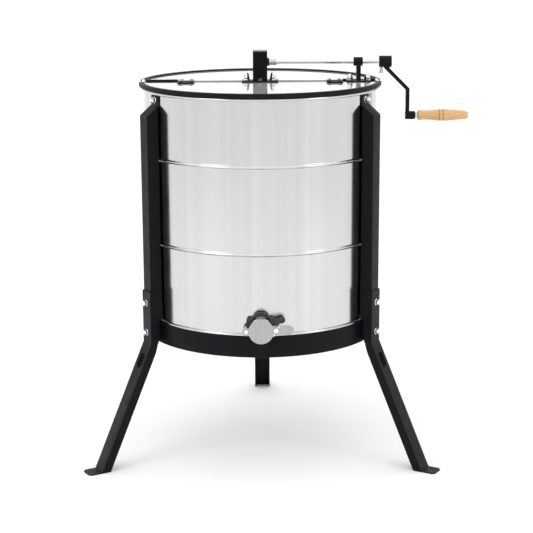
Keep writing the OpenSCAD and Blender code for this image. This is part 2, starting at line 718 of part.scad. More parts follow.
// Open screen that holds the comb against the spin, turned to quarter q.
module frame_screen(q) color(STEEL) rotate([0, 0, 90 * q])
    translate([basket_out - loop_rod_r - screen_t - 0.1, 0, 0]) rotate([90, 0, 90])
        linear_extrude(screen_t) difference() {
            half = pocket_half - post_rod_r - 1;
            cols = 8;
            rows = 15;
            bar = 4;
            h = rod_high - rod_low;
            pitch_x = (2 * half - bar) / cols;
            pitch_z = (h - bar) / rows;
            translate([-half, rod_low]) square([2 * half, h]);
            for (i = [0 : cols - 1], k = [0 : rows - 1])
                translate([-half + bar + i * pitch_x, rod_low + bar + k * pitch_z])
                    square([pitch_x - bar, pitch_z - bar]);
        }

// ---------------------------------------------------------------- lid

// Everything in front of or behind a line across the drum.
module front_of(y) translate([-tall / 2, y - tall, 0]) cube([tall, tall, tall]);
module behind(y) translate([-tall / 2, y, 0]) cube([tall, tall, tall]);

module clear_disc() translate([0, 0, lid_low]) cylinder(h = lid_t, r = slot_r - 0.3);

module edge_trim() rotate_extrude() polygon([
    [trim_in_r, trim_low], [trim_r, trim_low], [trim_r, trim_low + trim_h],
    [trim_in_r, trim_low + trim_h], [trim_in_r, lid_high + gap], [slot_r, lid_high + gap],
    [slot_r, lid_low - gap], [trim_in_r, lid_low - gap]]);

// Notches give the hinge knuckles room, and small holes take the leaf screws.
module front_flap() color(CLEAR) difference() {
    intersection() {
        clear_disc();
        front_of(flap_edge_y);
    }
    for (h = HINGE_X) translate([h[0] - 2.6, -32.5, lid_low - 1])
        cube([h[1] - h[0] + 5.2, 10, lid_t + 2]);
    flap_screw_holes();
}

module flap_screw_holes() for (h = HINGE_X) for (x = [h[0] + 6.7, h[1] - 6.7])
    translate([x, -41, lid_low - 2]) cylinder(h = 12, r = 2.1);

module front_flap_trim() color(BLACK) intersection() {
    edge_trim();
    front_of(pin_y - 0.5);
}

module rear_panel() color(CLEAR) difference() {
    intersection() {
        clear_disc();
        behind(rear_edge_y);
    }
    strip_screw_holes();
}

module rear_panel_trim() color(BLACK) intersection() {
    edge_trim();
    behind(rear_edge_y);
}

module rear_panel_screws() color(STEEL) for (x = STRIP_SCREW_X)
    translate([x, strip_screw_y, 910.6]) pan_screw(3.4, 2, 2, 8.5);

// Knuckle barrel on the hinge pin, between two places along X.
module knuckle(x0, x1) translate([x0, pin_y, pin_z]) along_x() cylinder(h = x1 - x0, r = knuckle_r);

// Splits a hinge's width into two outer knuckles and a middle one.
function third(h, k) = h[0] + (h[1] - h[0]) * k;

module hinge_fixed_leaves() color(BLACK) difference() {
    for (h = HINGE_X) {
        translate([h[0], -bar_d / 2 + 0.5, bar_high + gap / 4]) cube([h[1] - h[0], 33.5, 5]);
        for (s = [[0, 0.3], [0.7, 1]]) {
            knuckle(third(h, s[0]), third(h, s[1]));
            translate([third(h, s[0]), pin_y, pin_z - 2])
                cube([(h[1] - h[0]) * 0.3, 8, 4]);
        }
    }
    for (h = HINGE_X) {
        translate([h[0] - 1, pin_y, pin_z]) along_x() cylinder(h = 45, r = pin_r + 0.1);
        for (x = [h[0] + 6.7, h[1] - 6.7]) translate([x, 8, bar_high - 1]) cylinder(h = 12, r = 2.7);
    }
}

module hinge_flap_leaves() color(BLACK) difference() {
    for (h = HINGE_X) {
        knuckle(third(h, 0.3) + 0.4, third(h, 0.7) - 0.4);
        translate([third(h, 0.3) + 0.4, -34, lid_high + 0.4]) cube([(h[1] - h[0]) * 0.4 - 0.8, 7, 2.6]);
        translate([h[0], -47, lid_high + 0.1]) cube([h[1] - h[0], 13.7, 3]);
    }
    for (h = HINGE_X) translate([h[0] - 1, pin_y, pin_z]) along_x() cylinder(h = 45, r = pin_r + play);
    flap_screw_holes();
}

// Pins through the knuckles, headed at both ends.
module hinge_pins() color(STEEL) for (h = HINGE_X) translate([h[0] - 1.4, pin_y, pin_z]) along_x() {
    cylinder(h = h[1] - h[0] + 2.8, r = pin_r, $fn = 48);
    for (z = [0, h[1] - h[0] + 1.6]) translate([0, 0, z]) cylinder(h = 1.2, r = 2.6, $fn = 48);
}

// Bolts that hold the fixed leaves to the crossbar, with nuts below it.
module hinge_bolts() color(STEEL) for (h = HINGE_X) for (x = [h[0] + 6.7, h[1] - 6.7])
    translate([x, 8, bar_high + 5.2]) {
        cylinder(h = 1, r = 5, $fn = 48);
        translate([0, 0, 1]) hexagon(8, 3.2);
        translate([0, 0, -12.5]) cylinder(h = 17.5, r = 2.5, $fn = 48);
        translate([0, 0, -13]) cylinder(h = 3.5, r = 4.4, $fn = 48);
    }

// Screws that hold the flap leaves to the clear sheet, with nuts below it.
module flap_leaf_screws() color(BLACK) for (h = HINGE_X) for (x = [h[0] + 6.7, h[1] - 6.7])
    translate([x, -41, lid_high + 3.2]) {
        pan_screw(4, 2, 2, lid_t + 5.5);
        translate([0, 0, -lid_t - 5.5]) cylinder(h = 2, r = 3.6, $fn = 48);
    }

// ---------------------------------------------------------------- honey gate

module gate_body() color(BRIGHT) translate([0, 0, gate_z]) rotate([90, 0, 0]) rotate_extrude()
    polygon([
        [16, spigot_in], [spigot_r, spigot_in], [spigot_r, body_back], [gate_r - 1.5, body_back],
        [gate_r, body_back + 1.5], [gate_r, body_front - 1], [gate_r - 1, body_front],
        [outlet_r, body_front], [outlet_r, body_back + 8], [16, body_back]]);

// Edge of the yoke, across the drum and above the gate's axis: right half outside, then inside
ARCH_OUT = [[4, 36.1], [8, 35.4], [11.2, 34], [14, 32], [18, 27.3], [21, 22.6]];
ARCH_IN = [[24.5, 6.9], [22, 14.8], [17, 22], [13, 26.2], [8, 29], [4, 30.1]];
LUG_TOP = [[24, 23.7], [27.4, 23.9], [30, 22.7], [33, 20.6], [38.5, 20.1], [44, 21.6]];
NUB_SIDE = [[-33.8, 9], [-33.8, 19], [-31.6, 21.5], [-26, 21.9]];
function mirrored(v) = [for (p = reversed(v)) [-p[0], p[1]]];
function arc(c, r, a, b, n = 16) = [for (i = [0:n]) let (t = a + (b - a) * i / n) c + r * [cos(t), sin(t)]];

// Bell shaped arch behind the gate body: it carries the blade's pivot and the clamping stud.
module gate_yoke() color(DARK) gate_plate(yoke_back, yoke_front) difference() {
    polygon(concat(
        ARCH_OUT, LUG_TOP, arc([48.6, 17], 7.1, 90, -90), [[44, 8.9]], arc(stud, 6.5, 20, -160),
        ARCH_IN, mirrored(ARCH_IN), arc(pivot, 6.5, 20, -240), NUB_SIDE, mirrored(ARCH_OUT)));
    translate(pivot) circle(r = stud_r + 0.1);
    translate(stud) circle(r = stud_r + 0.1);
}

// Swinging disc: it turns on the left bolt, and its slot leaves the stud as it lifts.
module gate_blade() color(STEEL) gate_plate(blade_back, blade_back + blade_t) difference() {
    union() {
        circle(r = blade_r);
        translate(pivot) circle(r = 9);
        translate(stud) circle(r = 9);
        translate([26, 5]) square([8.5, 9]);
        translate([38, -7]) square([25.8, 21.8]);
        translate([63.8, 3.9]) circle(r = 10.9);
    }
    translate(pivot) circle(r = stud_r + play);
    translate(stud) circle(r = stud_r + 0.6);
    intersection() {
        translate(pivot) difference() {
            circle(r = slot_arc_r + stud_r + 0.6);
            circle(r = slot_arc_r - stud_r - 0.6);
        }
        translate([20, -40]) square([30, 40 + stud[1]]);
    }
}

// Spacer and bolt along -Y, from the yoke to the given front end.
module gate_stud(p, front) translate([p[0], 0, gate_z + p[1]]) rotate([90, 0, 0]) {
    translate([0, 0, yoke_back - 0.2]) cylinder(h = front - yoke_back + 0.2, r = stud_r);
    translate([0, 0, yoke_front + 0.1]) cylinder(h = body_front - 0.1 - yoke_front, r = 5);
    translate([0, 0, yoke_back - 3.2]) cylinder(h = 3, r = 5.5);
}

// The blade's pivot bolt with its head, and the stud of the wing nut.
module gate_studs() color(STEEL) {
    gate_stud(pivot, 332);
    translate([pivot[0], -(blade_back + blade_t + 0.4), gate_z + pivot[1]]) rotate([90, 0, 0])
        cylinder(h = 4, r1 = 5.2, r2 = 4.2);
    gate_stud(stud, 345);
}

module gate_wing_nut() color(BRIGHT) translate([stud[0], -(blade_back + blade_t + 0.4), gate_z + stud[1]])
    rotate([90, 0, 0]) difference() {
        union() {
            cylinder(h = 9, r1 = 6.5, r2 = 5.5);
            for (side = [0, 180]) rotate([0, 0, side + 60]) translate([3.5, -1.4, 2])
                rotate([0, -18, 0]) cube([12, 2.8, 10]);
        }
        translate([0, 0, -1]) cylinder(h = 30, r = stud_r + play);
    }

// ---------------------------------------------------------------- nodes

drum_wall();
drum_floor();
base_ring();
ring_brackets();
leg_post(0);  // leg_post_left
leg_post(1);  // leg_post_right
leg_post(2);  // leg_post_rear
leg_foot(0);  // leg_foot_left
leg_foot(1);  // leg_foot_right
leg_foot(2);  // leg_foot_rear
leg_bolts();
leg_top_nuts();
crossbar();
crossbar_end_nuts();
crossbar_seal_strips();
gear_mast();
mast_top_screw();
shaft_bracket();
bridge_cap_nuts();
crank_bush();
shaft_collar();
crank_shaft();
crank_gear();
crank_arm();
thumb_screw();
grip_axle();
grip_washer();
wood_grip();
basket_pinion();
basket_shaft();
shaft_lock_collar();
thrust_lower_race();
thrust_balls();
thrust_upper_race();
top_bearing_housing();
bottom_bearing_cup();
basket_top_spider();
basket_top_loops();
basket_bottom_spider();
basket_posts();
basket_guard_rods();
frame_screen(2);  // frame_screen_left
frame_screen(0);  // frame_screen_right
frame_screen(3);  // frame_screen_front
frame_screen(1);  // frame_screen_rear
front_flap();
front_flap_trim();
rear_panel();
rear_panel_trim();
rear_panel_screws();
hinge_fixed_leaves();
hinge_flap_leaves();
hinge_pins();
hinge_bolts();
flap_leaf_screws();
gate_body();
gate_yoke();
gate_blade();
gate_studs();
gate_wing_nut();
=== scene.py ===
"""Looks of a hand cranked honey extractor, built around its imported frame.

Every piece is in metres in the frame's own axes: +Z up along the drum's axis, -Y towards
the honey gate and +X towards the crank.
"""

from __future__ import annotations

import json
import logging
import math
from dataclasses import dataclass
from enum import Enum
from typing import Any, Callable, ClassVar, Iterable, Sequence

import bmesh
import bpy
from mathutils import Matrix, Vector

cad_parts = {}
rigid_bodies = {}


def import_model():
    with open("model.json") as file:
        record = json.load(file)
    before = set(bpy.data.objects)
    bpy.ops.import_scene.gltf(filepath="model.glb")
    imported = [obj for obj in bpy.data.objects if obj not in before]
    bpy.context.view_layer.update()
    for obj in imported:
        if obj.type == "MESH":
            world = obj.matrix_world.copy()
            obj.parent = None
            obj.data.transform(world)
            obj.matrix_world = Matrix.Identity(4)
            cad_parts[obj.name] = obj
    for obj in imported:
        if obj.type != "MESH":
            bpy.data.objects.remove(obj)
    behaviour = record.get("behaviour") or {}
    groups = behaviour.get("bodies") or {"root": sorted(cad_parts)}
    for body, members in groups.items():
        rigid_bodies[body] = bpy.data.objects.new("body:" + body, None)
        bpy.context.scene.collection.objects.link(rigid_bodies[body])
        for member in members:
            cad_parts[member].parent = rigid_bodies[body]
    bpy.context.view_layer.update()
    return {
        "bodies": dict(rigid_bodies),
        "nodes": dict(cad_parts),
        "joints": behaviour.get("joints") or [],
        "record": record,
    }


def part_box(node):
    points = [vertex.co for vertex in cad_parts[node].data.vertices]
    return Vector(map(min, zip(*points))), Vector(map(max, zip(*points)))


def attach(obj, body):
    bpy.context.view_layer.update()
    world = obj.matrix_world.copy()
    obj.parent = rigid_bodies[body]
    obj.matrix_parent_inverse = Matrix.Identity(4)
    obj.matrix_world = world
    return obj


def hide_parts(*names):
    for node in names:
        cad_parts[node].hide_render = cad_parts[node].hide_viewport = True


LOG = logging.getLogger("honey_extractor")
MM = 0.001
TURN = 2.0 * math.pi
Point = Sequence[float]
LEG_ANGLES = tuple(math.radians(a) for a in (-150, -30, 90))
LEG_NAMES = ("left", "right", "rear")
TAB_BOLT_Z = 881 * MM
GATE_Z = 374 * MM
SOFT_EDGE = math.radians(38)
QUARTERS = tuple((math.cos(q * math.pi / 2), math.sin(q * math.pi / 2)) for q in range(4))


def in_mm(*points: Point) -> list[tuple[float, ...]]:
    """Points that are given in mm, in metres."""
    return [tuple(value * MM for value in point) for point in points]


def arc(middle: Point, radius: float, degrees: Iterable[int]) -> list[tuple[float, float]]:
    """Points round a middle, at each of the given angles."""
    return [(middle[0] + radius * math.cos(a), middle[1] + radius * math.sin(a))
            for a in map(math.radians, degrees)]


# ---------------------------------------------------------------- shader helpers


class Graph:
    """Node tree of a material or a group, with short ways to add and link nodes."""

    def __init__(self, tree: bpy.types.NodeTree) -> None:
        """Keeps the tree that nodes are added to."""
        self.tree = tree

    def add(self, kind: str, **settings: Any) -> bpy.types.Node:
        """Adds a node.

        Args:
            kind: Name of the node's type.
            **settings: Attributes of the node, such as its operation.

        Returns:
            The new node.
        """
        made = self.tree.nodes.new(kind)
        for name, value in settings.items():
            setattr(made, name, value)
        return made

    def put(self, node: bpy.types.Node, socket: str | int, value: Any) -> None:
        """Sets a socket to a value, or links it if the value is another socket.

        Args:
            node: Node that owns the input.
            socket: Name or number of the input.
            value: Number, colour or output socket.
        """
        if isinstance(value, bpy.types.NodeSocket):
            self.tree.links.new(value, node.inputs[socket])
        else:
            node.inputs[socket].default_value = value

    def math(self, operation: str, a: Any, b: Any = 0.0, c: Any = 0.0) -> bpy.types.NodeSocket:
        """Adds a Math node.

        Args:
            operation: Blender's name of the operation.
            a: First value or socket.
            b: Second value or socket.
            c: Third value or socket.

        Returns:
            The node's output.
        """
        made = self.add("ShaderNodeMath", operation=operation)
        for place, value in enumerate((a, b, c)):
            self.put(made, place, value)
        return made.outputs[0]

    def remap(self, value: Any, low: float, high: float, to_low: float, to_high: float) -> Any:
        """Maps a value from one range to another, held inside the new range.

        Args:
            value: Socket to map.
            low: Start of the old range.
            high: End of the old range.
            to_low: Start of the new range.
            to_high: End of the new range.

        Returns:
            The mapped output.
        """
        made = self.add("ShaderNodeMapRange")
        for name, item in (("Value", value), ("From Min", low), ("From Max", high),
                           ("To Min", to_low), ("To Max", to_high)):
            self.put(made, name, item)
        return made.outputs[0]

    def mix(self, share: Any, first: Any, second: Any) -> Any:
        """Mixes two colours.

        Args:
            share: Share of the second colour.
            first: First colour or socket.
            second: Second colour or socket.

        Returns:
            The mixed colour's output.
        """
        made = self.add("ShaderNodeMix", data_type="RGBA")
        for place, value in ((0, share), (6, first), (7, second)):
            self.put(made, place, value)
        return made.outputs[2]

    def noise(self, vector: Any, scale: float, detail: float = 3.0, rough: float = 0.5) -> Any:
        """Adds a Noise Texture.

        Args:
            vector: Coordinates to read.
            scale: Scale of the noise.
            detail: Number of finer layers.
            rough: Strength of the finer layers.

        Returns:
            The noise value's output.
        """
        made = self.add("ShaderNodeTexNoise")
        for name, value in (("Vector", vector), ("Scale", scale), ("Detail", detail),
                            ("Roughness", rough)):
            self.put(made, name, value)
        return made.outputs[0]

    def placed(self, vector: Any, scale: Point, turn: Point = (0, 0, 0),
               move: Point = (0, 0, 0)) -> Any:
        """Adds a Mapping node.

        Args:
            vector: Coordinates to change.
            scale: Scale along each axis.
            turn: Rotation about each axis.
            move: Shift along each axis.

        Returns:
            The changed coordinates' output.
        """
        made = self.add("ShaderNodeMapping")
        for name, value in (("Vector", vector), ("Location", move), ("Rotation", turn),
                            ("Scale", scale)):
            self.put(made, name, value)
        return made.outputs[0]


class GroupMaker:
    """Builds the shared shader groups once, and hands them out by name."""

    made: ClassVar[dict[str, bpy.types.NodeTree]] = {}

    @classmethod
    def shared(cls, name: str, inputs: dict[str, float], outputs: dict[str, str],
               fill: Callable[[Graph, Any], dict[str, Any]]) -> bpy.types.NodeTree:
        """Returns a group, and builds it the first time.

        Args:
            name: Name of the group.
            inputs: Names and defaults of its number inputs; a Vector input is always there.
            outputs: Names and socket types of its outputs.
            fill: Adds the nodes, and returns a socket for each output.

        Returns:
            The group's node tree.
        """
        if name in cls.made:
            return cls.made[name]
        tree = bpy.data.node_groups.new(name, "ShaderNodeTree")
        tree.interface.new_socket("Vector", in_out="INPUT", socket_type="NodeSocketVector")
        for label, value in inputs.items():
            made = tree.interface.new_socket(label, in_out="INPUT", socket_type="NodeSocketFloat")
            made.default_value = value
        for label, kind in outputs.items():
            tree.interface.new_socket(label, in_out="OUTPUT", socket_type=kind)
        graph = Graph(tree)
        entry, leave = graph.add("NodeGroupInput"), graph.add("NodeGroupOutput")
        for label, value in fill(graph, entry.outputs).items():
            graph.put(leave, label, value)
        cls.made[name] = tree
        return tree

    @classmethod
    def edge_wear(cls) -> bpy.types.NodeTree:
        """Mask of rubbed edges, from a rounded normal and broken up by noise."""

        def fill(graph: Graph, given: Any) -> dict[str, Any]:
            """Adds the group's nodes."""
            soft = graph.add("ShaderNodeBevel", samples=4)
            graph.put(soft, "Radius", given["Radius"])
            shape = graph.add("ShaderNodeNewGeometry")
            dot = graph.add("ShaderNodeVectorMath", operation="DOT_PRODUCT")
            graph.put(dot, 0, soft.outputs[0])
            graph.put(dot, 1, shape.outputs["Normal"])
            edge = graph.remap(dot.outputs["Value"], 0.995, 0.86, 0.0, 1.0)
            spots = graph.noise(given["Vector"], 160.0, 5.0, 0.65)
            spots = graph.remap(spots, 0.38, 0.68, 0.0, 1.0)
            worn = graph.math("MULTIPLY", graph.math("MULTIPLY", edge, spots), given["Amount"])
            return {"Mask": graph.math("MINIMUM", worn, 1.0)}

        return cls.shared("edge_wear", {"Radius": 0.0012, "Amount": 0.5},
                          {"Mask": "NodeSocketFloat"}, fill)

    @classmethod
    def dust(cls) -> bpy.types.NodeTree:
        """Mask of thin dust on the faces that look up."""

        def fill(graph: Graph, given: Any) -> dict[str, Any]:
            """Adds the group's nodes."""
            shape = graph.add("ShaderNodeNewGeometry")
            split = graph.add("ShaderNodeSeparateXYZ")
            graph.put(split, 0, shape.outputs["Normal"])
            up = graph.remap(split.outputs[2], 0.35, 0.95, 0.0, 1.0)
            patches = graph.noise(given["Vector"], 45.0, 6.0, 0.6)
            patches = graph.remap(patches, 0.35, 0.75, 0.1, 1.0)
            return {"Mask": graph.math("MULTIPLY", graph.math("MULTIPLY", up, patches),
                                       given["Amount"])}

        return cls.shared("settled_dust", {"Amount": 0.2}, {"Mask": "NodeSocketFloat"}, fill)

    @classmethod
    def grain(cls) -> bpy.types.NodeTree:
        """Fine surface texture in two sizes: one for height and one for slow changes of tone."""

        def fill(graph: Graph, given: Any) -> dict[str, Any]:
            """Adds the group's nodes."""
            fine = graph.noise(given["Vector"], given["Scale"], 4.0, 0.6)
            slow = graph.noise(given["Vector"], graph.math("MULTIPLY", given["Scale"], 0.06), 3.0)
            return {"Height": fine, "Tone": slow}

        return cls.shared("fine_grain", {"Scale": 900.0},
                          {"Height": "NodeSocketFloat", "Tone": "NodeSocketFloat"}, fill)

    @classmethod
    def streaks(cls) -> bpy.types.NodeTree:
        """Rolling or brushing lines: noise that is drawn out along one axis of the coordinates."""

        def fill(graph: Graph, given: Any) -> dict[str, Any]:
            """Adds the group's nodes."""
            fine = graph.noise(given["Vector"], given["Scale"], 2.0, 0.55)
            broad = graph.noise(given["Vector"], graph.math("MULTIPLY", given["Scale"], 0.11), 3.0)
            both = graph.math("ADD", graph.math("MULTIPLY", fine, 0.6),
                              graph.math("MULTIPLY", broad, 0.4))
            return {"Lines": both, "Broad": broad}

        return cls.shared("drawn_lines", {"Scale": 60.0},
                          {"Lines": "NodeSocketFloat", "Broad": "NodeSocketFloat"}, fill)


class Lay(Enum):
    """Direction that the lines of a metal surface run in."""

    NONE = "none"
    ALONG_X = "along x"
    ALONG_Z = "along z"
    DRAWN_UP = "up the drum"


LAY_SCALE: dict[Lay, Point] = {
    Lay.ALONG_X: (1.0, 30.0, 30.0),
    Lay.ALONG_Z: (30.0, 30.0, 1.0),
}


@dataclass(frozen=True)
class Finish:
    """What every finish has: its name, its slot in the record and its colour.

    Attributes:
        name: Name of the material.
        slot: Material slot of the record that it belongs to; not used.
        colour: Linear base colour.
        rough: Mean roughness.
    """

    name: str
    slot: str
    colour: Point
    rough: float

    def material(self) -> bpy.types.Material:
        """Returns the finish's material, and builds it the first time."""
        if self.name in bpy.data.materials:
            return bpy.data.materials[self.name]
        made = bpy.data.materials.new(self.name)
        made.use_nodes = True
        graph = Graph(made.node_tree)
        shader = made.node_tree.nodes["Principled BSDF"]
        place = graph.add("ShaderNodeTexCoord").outputs["Object"]
        graph.put(shader, "Base Color", (*self.colour, 1.0))
        graph.put(shader, "Roughness", self.rough)
        self.dress(graph, shader, place)
        return made

    def dress(self, graph: Graph, shader: bpy.types.Node, place: Any) -> None:
        """Adds what is special to the finish.

        Args:
            graph: The material's nodes.
            shader: Its Principled BSDF.
            place: Object coordinates.
        """
        raise NotImplementedError

    def group(self, graph: Graph, tree: bpy.types.NodeTree, place: Any, **values: float) -> Any:
        """Puts a shared group in the material.

        Args:
            graph: The material's nodes.
            tree: The group.
            place: Coordinates for the group.
            **values: Values of the group's inputs.

        Returns:
            The group node's outputs.
        """
        made = graph.add("ShaderNodeGroup", node_tree=tree)
        graph.put(made, "Vector", place)
        for name, value in values.items():
            graph.put(made, name, value)
        return made.outputs

    def bump(self, graph: Graph, shader: bpy.types.Node, height: Any, strength: float,
             depth: float) -> None:
        """Feeds a height to the shader's normal.

        Args:
            graph: The material's nodes.
            shader: Its Principled BSDF.
            height: Height socket.
            strength: Strength of the bump.
            depth: Depth in metres that the height stands for.
        """
        made = graph.add("ShaderNodeBump")
        graph.put(made, "Strength", strength)
        graph.put(made, "Distance", depth)
        graph.put(made, "Height", height)
        graph.put(shader, "Normal", made.outputs[0])


@dataclass(frozen=True)
class Steel(Finish):
    """Bare or plated steel with drawn lines, cloudy tone and rubbed edges.

    Attributes:
        lay: Direction of the lines.
        cloud: How much the tone and the gloss change over the surface.
        line_depth: Depth of the lines, in metres.
        line_scale: Number of lines across a length.
        worn: Strength of the bright rubbed edges.
    """

    lay: Lay = Lay.NONE
    cloud: float = 0.08
    line_depth: float = 0.00002
    line_scale: float = 60.0
    worn: float = 0.3

    def lines_place(self, graph: Graph, place: Any) -> Any:
        """Coordinates in which the finish's lines run along one axis."""
        if self.lay is Lay.DRAWN_UP:
            split = graph.add("ShaderNodeSeparateXYZ")
            graph.put(split, 0, place)
            flat = graph.add("ShaderNodeCombineXYZ")
            graph.put(flat, 0, split.outputs[0])
            graph.put(flat, 1, split.outputs[1])
            away = graph.add("ShaderNodeVectorMath", operation="NORMALIZE")
            graph.put(away, 0, flat.outputs[0])
            together = graph.add("ShaderNodeVectorMath", operation="ADD")
            upright = graph.add("ShaderNodeCombineXYZ")
            graph.put(upright, 2, split.outputs[2])
            graph.put(together, 0, away.outputs[0])
            graph.put(together, 1, upright.outputs[0])
            return graph.placed(together.outputs[0], (4.0, 4.0, 0.05))
        return graph.placed(place, LAY_SCALE.get(self.lay, (12.0, 12.0, 12.0)))

    def dress(self, graph: Graph, shader: bpy.types.Node, place: Any) -> None:
        """Adds lines, cloudy tone, fingermark gloss and worn edges."""
        graph.put(shader, "Metallic", 1.0)
        lines = self.group(graph, GroupMaker.streaks(), self.lines_place(graph, place),
                           Scale=self.line_scale)
        wear = self.group(graph, GroupMaker.edge_wear(), place, Amount=self.worn)
        marks = self.group(graph, GroupMaker.grain(), place, Scale=220.0)
        tone = graph.remap(lines["Broad"], 0.3, 0.7, 1.0 - self.cloud, 1.0 + self.cloud * 0.4)
        tint = graph.add("ShaderNodeVectorMath", operation="SCALE")
        graph.put(tint, 0, tuple(self.colour))
        graph.put(tint, "Scale", tone)
        bright = tuple(min(1.0, c * 1.12) for c in self.colour)
        graph.put(shader, "Base Color", graph.mix(wear["Mask"], tint.outputs[0], (*bright, 1.0)))
        gloss = graph.remap(marks["Tone"], 0.35, 0.7, self.rough * 0.9, self.rough * 1.15)
        graph.put(shader, "Roughness", graph.math(
            "ADD", gloss, graph.math("MULTIPLY", lines["Lines"], self.rough * 0.3)))
        self.bump(graph, shader, lines["Lines"], 0.5, self.line_depth)


@dataclass(frozen=True)
class Paint(Finish):
    """Baked paint or powder coat with a fine orange peel, dust and chipped edges.

    Attributes:
        peel: Scale of the orange peel.
        peel_depth: Its depth, in metres.
        chipped: Strength of the worn edges.
        under: Colour that shows at worn edges.
        dusty: Amount of dust on top.
        shine: Specular level of the coat.
    """

    peel: float = 700.0
    peel_depth: float = 0.00006
    chipped: float = 0.5
    under: Point = (0.16, 0.16, 0.17)
    dusty: float = 0.03
    shine: float = 0.2

    def dress(self, graph: Graph, shader: bpy.types.Node, place: Any) -> None:
        """Adds the coat, the orange peel, dust and chips."""
        graph.put(shader, "Specular IOR Level", self.shine)
        wear = self.group(graph, GroupMaker.edge_wear(), place, Amount=self.chipped)
        dust = self.group(graph, GroupMaker.dust(), place, Amount=self.dusty)
        grain = self.group(graph, GroupMaker.grain(), place, Scale=self.peel)
        tone = graph.add("ShaderNodeVectorMath", operation="SCALE")
        graph.put(tone, 0, tuple(self.colour))
        graph.put(tone, "Scale", graph.remap(grain["Tone"], 0.3, 0.7, 0.8, 1.25))
        worn = graph.mix(wear["Mask"], tone.outputs[0], (*self.under, 1.0))
        graph.put(shader, "Base Color", graph.mix(dust["Mask"], worn, (0.34, 0.33, 0.31, 1.0)))
        gloss = graph.remap(grain["Tone"], 0.3, 0.7, self.rough * 0.85, self.rough * 1.2)
        graph.put(shader, "Roughness", graph.math(
            "ADD", gloss, graph.math("MULTIPLY", dust["Mask"], 0.4)))
        self.bump(graph, shader, grain["Height"], 0.35, self.peel_depth)


@dataclass(frozen=True)
class Clear(Finish):
    """Clear polished acrylic sheet with faint wiping marks."""

    def dress(self, graph: Graph, shader: bpy.types.Node, place: Any) -> None:
        """Adds transmission and faint scratches in the gloss."""
        graph.put(shader, "IOR", 1.49)
        graph.put(shader, "Transmission Weight", 0.72)
        marks = self.group(graph, GroupMaker.streaks(),
                           graph.placed(place, (3.0, 40.0, 3.0), (0, 0, 0.5)), Scale=14.0)
        graph.put(shader, "Roughness", graph.remap(marks["Lines"], 0.4, 0.75, self.rough, 0.06))


@dataclass(frozen=True)
class Beech(Finish):
    """Lacquered beech with rings along X, short dark flecks and two burnt lines.

    Attributes:
        dark: Colour of the late wood.
        burnt: Places along X of the burnt lines.
        axis_z: Height of the grip's axis.
    """

    dark: Point = (0.50, 0.27, 0.10)
    burnt: Point = (0.0, 0.0)
    axis_z: float = 0.0

    def dress(self, graph: Graph, shader: bpy.types.Node, place: Any) -> None:
        """Adds grain, flecks, burnt lines and lacquer."""
        centred = graph.placed(place, (1.0, 1.0, 1.0), move=(0.0, 0.006, -self.axis_z + 0.004))
        stretched = graph.placed(centred, (0.10, 1.0, 1.0))
        rings = graph.add("ShaderNodeTexWave", wave_type="RINGS", rings_direction="X")
        for name, value in (("Vector", stretched), ("Scale", 75.0), ("Distortion", 3.0),
                            ("Detail", 3.0), ("Detail Scale", 2.0)):
            graph.put(rings, name, value)
        flecks = graph.remap(graph.noise(graph.placed(centred, (0.16, 1.0, 1.0)), 950.0, 2.0),
                             0.56, 0.68, 0.0, 1.0)
        band = graph.remap(rings.outputs[1], 0.2, 1.0, 0.0, 0.45)
        wood = graph.mix(band, (*self.colour, 1.0), (*self.dark, 1.0))
        wood = graph.mix(graph.math("MULTIPLY", flecks, 0.35), wood, (0.30, 0.14, 0.05, 1.0))
        split = graph.add("ShaderNodeSeparateXYZ")
        graph.put(split, 0, place)
        near = [graph.remap(graph.math("ABSOLUTE", graph.math("SUBTRACT", split.outputs[0], x)),
                            0.0004, 0.0016, 1.0, 0.0) for x in self.burnt]
        scorch = graph.math("MULTIPLY", graph.math("MAXIMUM", near[0], near[1]), 0.8)
        graph.put(shader, "Base Color", graph.mix(scorch, wood, (0.10, 0.045, 0.018, 1.0)))
        graph.put(shader, "Roughness", graph.remap(flecks, 0.0, 1.0, self.rough, self.rough + 0.12))
        graph.put(shader, "Coat Weight", 0.25)
        graph.put(shader, "Coat Roughness", 0.18)
        height = graph.math("ADD", graph.math("MULTIPLY", band, 0.5),
                            graph.math("MULTIPLY", flecks, -0.5))
        self.bump(graph, shader, height, 0.4, 0.00012)


SHEET = Steel("rolled_sheet", "polished_steel", (0.63, 0.63, 0.625), 0.15, Lay.DRAWN_UP, 0.08,
              0.000005, 26.0, 0.1)
FLOOR_SHEET = Steel("floor_sheet", "satin_steel", (0.74, 0.74, 0.73), 0.3, Lay.NONE, 0.1)
PLATED = Steel("bright_plate", "polished_steel", (0.86, 0.87, 0.89), 0.10, Lay.NONE, 0.06,
               0.00001, 60.0, 0.2)
GATE_CHROME = Steel("gate_chrome", "polished_steel", (0.80, 0.81, 0.82), 0.12, Lay.ALONG_X, 0.05,
                    0.000005, 40.0, 0.2)
GROUND_SHAFT = Steel("ground_shaft", "polished_steel", (0.78, 0.78, 0.79), 0.13, Lay.ALONG_X,
                     0.06, 0.00001, 80.0, 0.2)
BAR_STEEL = Steel("bar_steel", "satin_steel", (0.60, 0.61, 0.62), 0.28, Lay.ALONG_X, 0.10)
ROD_STEEL = Steel("rod_steel", "satin_steel", (0.72, 0.73, 0.74), 0.25, Lay.NONE, 0.10)
SATIN = Steel("satin_plate", "satin_steel", (0.70, 0.71, 0.73), 0.20, Lay.NONE, 0.08)
BLADE_STEEL = Steel("brushed_blade", "satin_steel", (0.44, 0.445, 0.455), 0.34, Lay.ALONG_Z, 0.10,
                    0.00003, 70.0, 0.4)
OILED = Steel("oiled_steel", "bearing_steel", (0.48, 0.48, 0.50), 0.3, Lay.NONE, 0.2)
ZINC = Steel("blue_zinc", "zinc_washer", (0.58, 0.65, 0.76), 0.2, Lay.NONE, 0.15)
